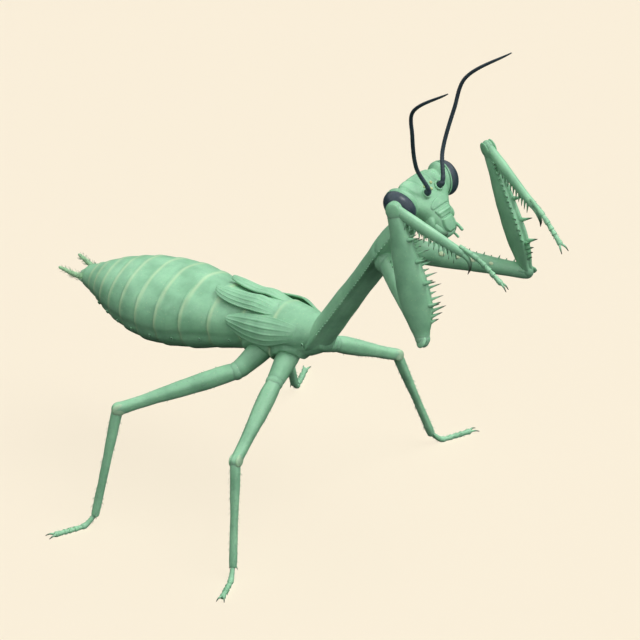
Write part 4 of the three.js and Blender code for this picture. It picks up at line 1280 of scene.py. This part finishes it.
def make_grasping_leg():
    chance = random.Random(11)
    coxa_front = square_to(COXA_LINE, FEMUR_LINE)
    femur_belly = square_to(FEMUR_LINE, TIBIA_LINE)
    tibia_belly = square_to(TIBIA_LINE, -FEMUR_LINE)
    fold = TIBIA_LINE.cross(FEMUR_LINE).normalized()
    inwards = fold * -math.copysign(1, fold.x)
    sides = {  # a part's ends and rows, the side that its thorns stand on, and how deep they root there
        "coxa": (SHOULDER, ELBOW, COXA_ROWS, coxa_front, 0.97),
        "femur": (ELBOW, FORE_KNEE, FEMUR_ROWS, femur_belly, 0.93),
        "tibia": (FORE_KNEE, WRIST, TIBIA_ROWS, tibia_belly, 0.9),
    }
    thorns = []
    for part, *sizes in THORN_ROWS:
        thorns += thorn_row(*sides[part], inwards, *sizes, chance)

    def past_wrist(spots):
        return [WRIST + TIBIA_LINE * along + tibia_belly * drop for along, drop in spots]

    flat = grasping_section
    trochanter = ELBOW + FEMUR_LINE * 0.4
    parts = [
        member("coxa", SHOULDER, ELBOW, coxa_front, COXA_ROWS, FORE_COXA_STATIONS, 24, coxa_section),
        member("femur", ELBOW, FORE_KNEE, -femur_belly, FEMUR_ROWS, FORE_FEMUR_STATIONS, 36, flat),
        member("tibia", FORE_KNEE, WRIST, -tibia_belly, TIBIA_ROWS, plain(0, 1, 14), 28, flat),
        hook("tibial_claw", past_wrist(TIBIAL_CLAW), TIBIAL_CLAW_RADIUS, 14),
        planted("thorns", THORN, thorns),
        ball("hip_skin", SHOULDER, HIP_SKIN_RADII, axes(COXA_LINE, coxa_front), 24, 14),
        ball("trochanter", trochanter, FORE_TROCHANTER_RADII, axes(FEMUR_LINE, femur_belly), 24, 14),
        lobes(FORE_KNEE, FEMUR_LINE, inwards, *FORE_KNEE_LOBES),
        lobes(ELBOW, COXA_LINE, inwards, *ELBOW_LOBES),
        *toes(past_wrist(FORE_TARSUS), -tibia_belly, inwards, chance, FORE_TOE_RADIUS),
    ]
    for share, size in CALLUSES:
        place, out = on_shaft(Route(SHOULDER, ELBOW), coxa_front, COXA_ROWS, share, CALLUS_ANGLE)
        callus = ball("callus", place, (size, size * 1.4, 0.1), axes(out, COXA_LINE), 16, 10)
        parts.append(mark(callus, "pale", lambda spot: 0.75))
    keep_pair(joined("leg", parts), "fore_leg", GREEN, *[f"fore_{part}" for part in LEG_PARTS])


make_body()
make_prothorax()
make_joints()
make_head()
make_eyes()
make_antennae()
make_palps()
make_cerci()
make_wing_pads()
make_walking_leg("mid")
make_walking_leg("hind")
make_grasping_leg()
for model in (PIMPLE, BRISTLE, THORN):
    bpy.data.objects.remove(model)

# ---- floor, light and camera
CREAM = "#faeed9"
LIT_CREAM = "#faefd9"  # as the floor looks under the lamps
SKY_GREEN = "#d6f5dc"
UNDER_LIGHT = 0.02  # the even light that also comes from below
SUN_SIDE = (0.25, -0.45, 1.0)
LAMPS = [  # strength, softness in degrees, where it stands, what it lights, what casts its shadows
    ("sky", 3.42, 157, (0.1, -0.2, 1.0), "animal", "animal"),
    ("key", 1.25, 16, SUN_SIDE, "animal", "animal"),
    ("floor_wash", 3.26, 60, SUN_SIDE, "floor", "floor"),
    ("floor_shade", 0.25, 50, SUN_SIDE, "floor", "animal"),
]


def make_room():
    """A dim room that shows itself as lit cream behind the floor, so that a low view isn't dark."""
    world = bpy.data.worlds.new("studio")
    world.use_nodes = True
    tree = world.node_tree
    tree.nodes.clear()
    light = add(tree, "ShaderNodeBackground", {"Color": linear(SKY_GREEN), "Strength": UNDER_LIGHT})
    backdrop = add(tree, "ShaderNodeBackground", {"Color": linear(LIT_CREAM), "Strength": 1.0})
    seen = add(tree, "ShaderNodeLightPath").outputs["Is Camera Ray"]
    shown = {"Fac": seen, 1: light.outputs["Background"], 2: backdrop.outputs["Background"]}
    room = add(tree, "ShaderNodeMixShader", shown)
    add(tree, "ShaderNodeOutputWorld", {"Surface": room.outputs["Shader"]})
    bpy.context.scene.world = world


def make_stage():
    """A cream card, and the lamps: a wide one over the animal, a smaller one to its front, and two that
    only light the card."""
    pieces = [piece for piece in bpy.context.scene.objects if piece.type == "MESH"]
    floor = added("floor", bpy.ops.mesh.primitive_plane_add, size=6)
    floor.visible_diffuse = floor.visible_glossy = False
    finish, tree, shader = new_finish("matt_cream_card")
    fill(shader, {"Base Color": linear(CREAM), "Roughness": 0.9, "Specular IOR Level": 0.1})
    floor.data.materials.append(finish)
    scene = bpy.context.scene
    scene.view_settings.view_transform = "Standard"
    groups = {word: bpy.data.collections.new(word) for word in ("animal", "floor")}
    groups["floor"].objects.link(floor)
    for piece in pieces:
        groups["animal"].objects.link(piece)
    for name, strength, softness, direction, lit, blocked_by in LAMPS:
        lamp = bpy.data.lights.new(name, "SUN")
        lamp.energy = strength
        lamp.angle = math.radians(softness)
        lamp_object = bpy.data.objects.new(name, lamp)
        scene.collection.objects.link(lamp_object)
        lamp_object.rotation_mode = "QUATERNION"
        lamp_object.rotation_quaternion = Vector(direction).to_track_quat("Z", "Y")
        lamp_object.light_linking.receiver_collection = groups[lit]
        lamp_object.light_linking.blocker_collection = groups[blocked_by]


CAMERA_AZIMUTH = math.radians(-53.24)
CAMERA_HEIGHT = math.radians(29.376)
CAMERA_AIM = Vector((0, -3.62, 33.14)) * MM
CAMERA_VIEW = 99.2 * MM  # how wide the view is at the animal
CAMERA_LENS, CAMERA_SENSOR = 1000, 36


def make_camera():
    data = bpy.data.cameras.new("camera")
    data.lens = CAMERA_LENS
    data.sensor_width = CAMERA_SENSOR
    camera = bpy.data.objects.new("camera", data)
    bpy.context.scene.collection.objects.link(camera)
    back = Vector((
        math.sin(CAMERA_AZIMUTH) * math.cos(CAMERA_HEIGHT),
        -math.cos(CAMERA_AZIMUTH) * math.cos(CAMERA_HEIGHT),
        math.sin(CAMERA_HEIGHT),
    ))
    camera.location = CAMERA_AIM + back * CAMERA_VIEW * CAMERA_LENS / CAMERA_SENSOR
    camera.rotation_mode = "QUATERNION"
    camera.rotation_quaternion = (-back).to_track_quat("-Z", "Y")
    bpy.context.scene.camera = camera


make_stage()
make_room()
make_camera()
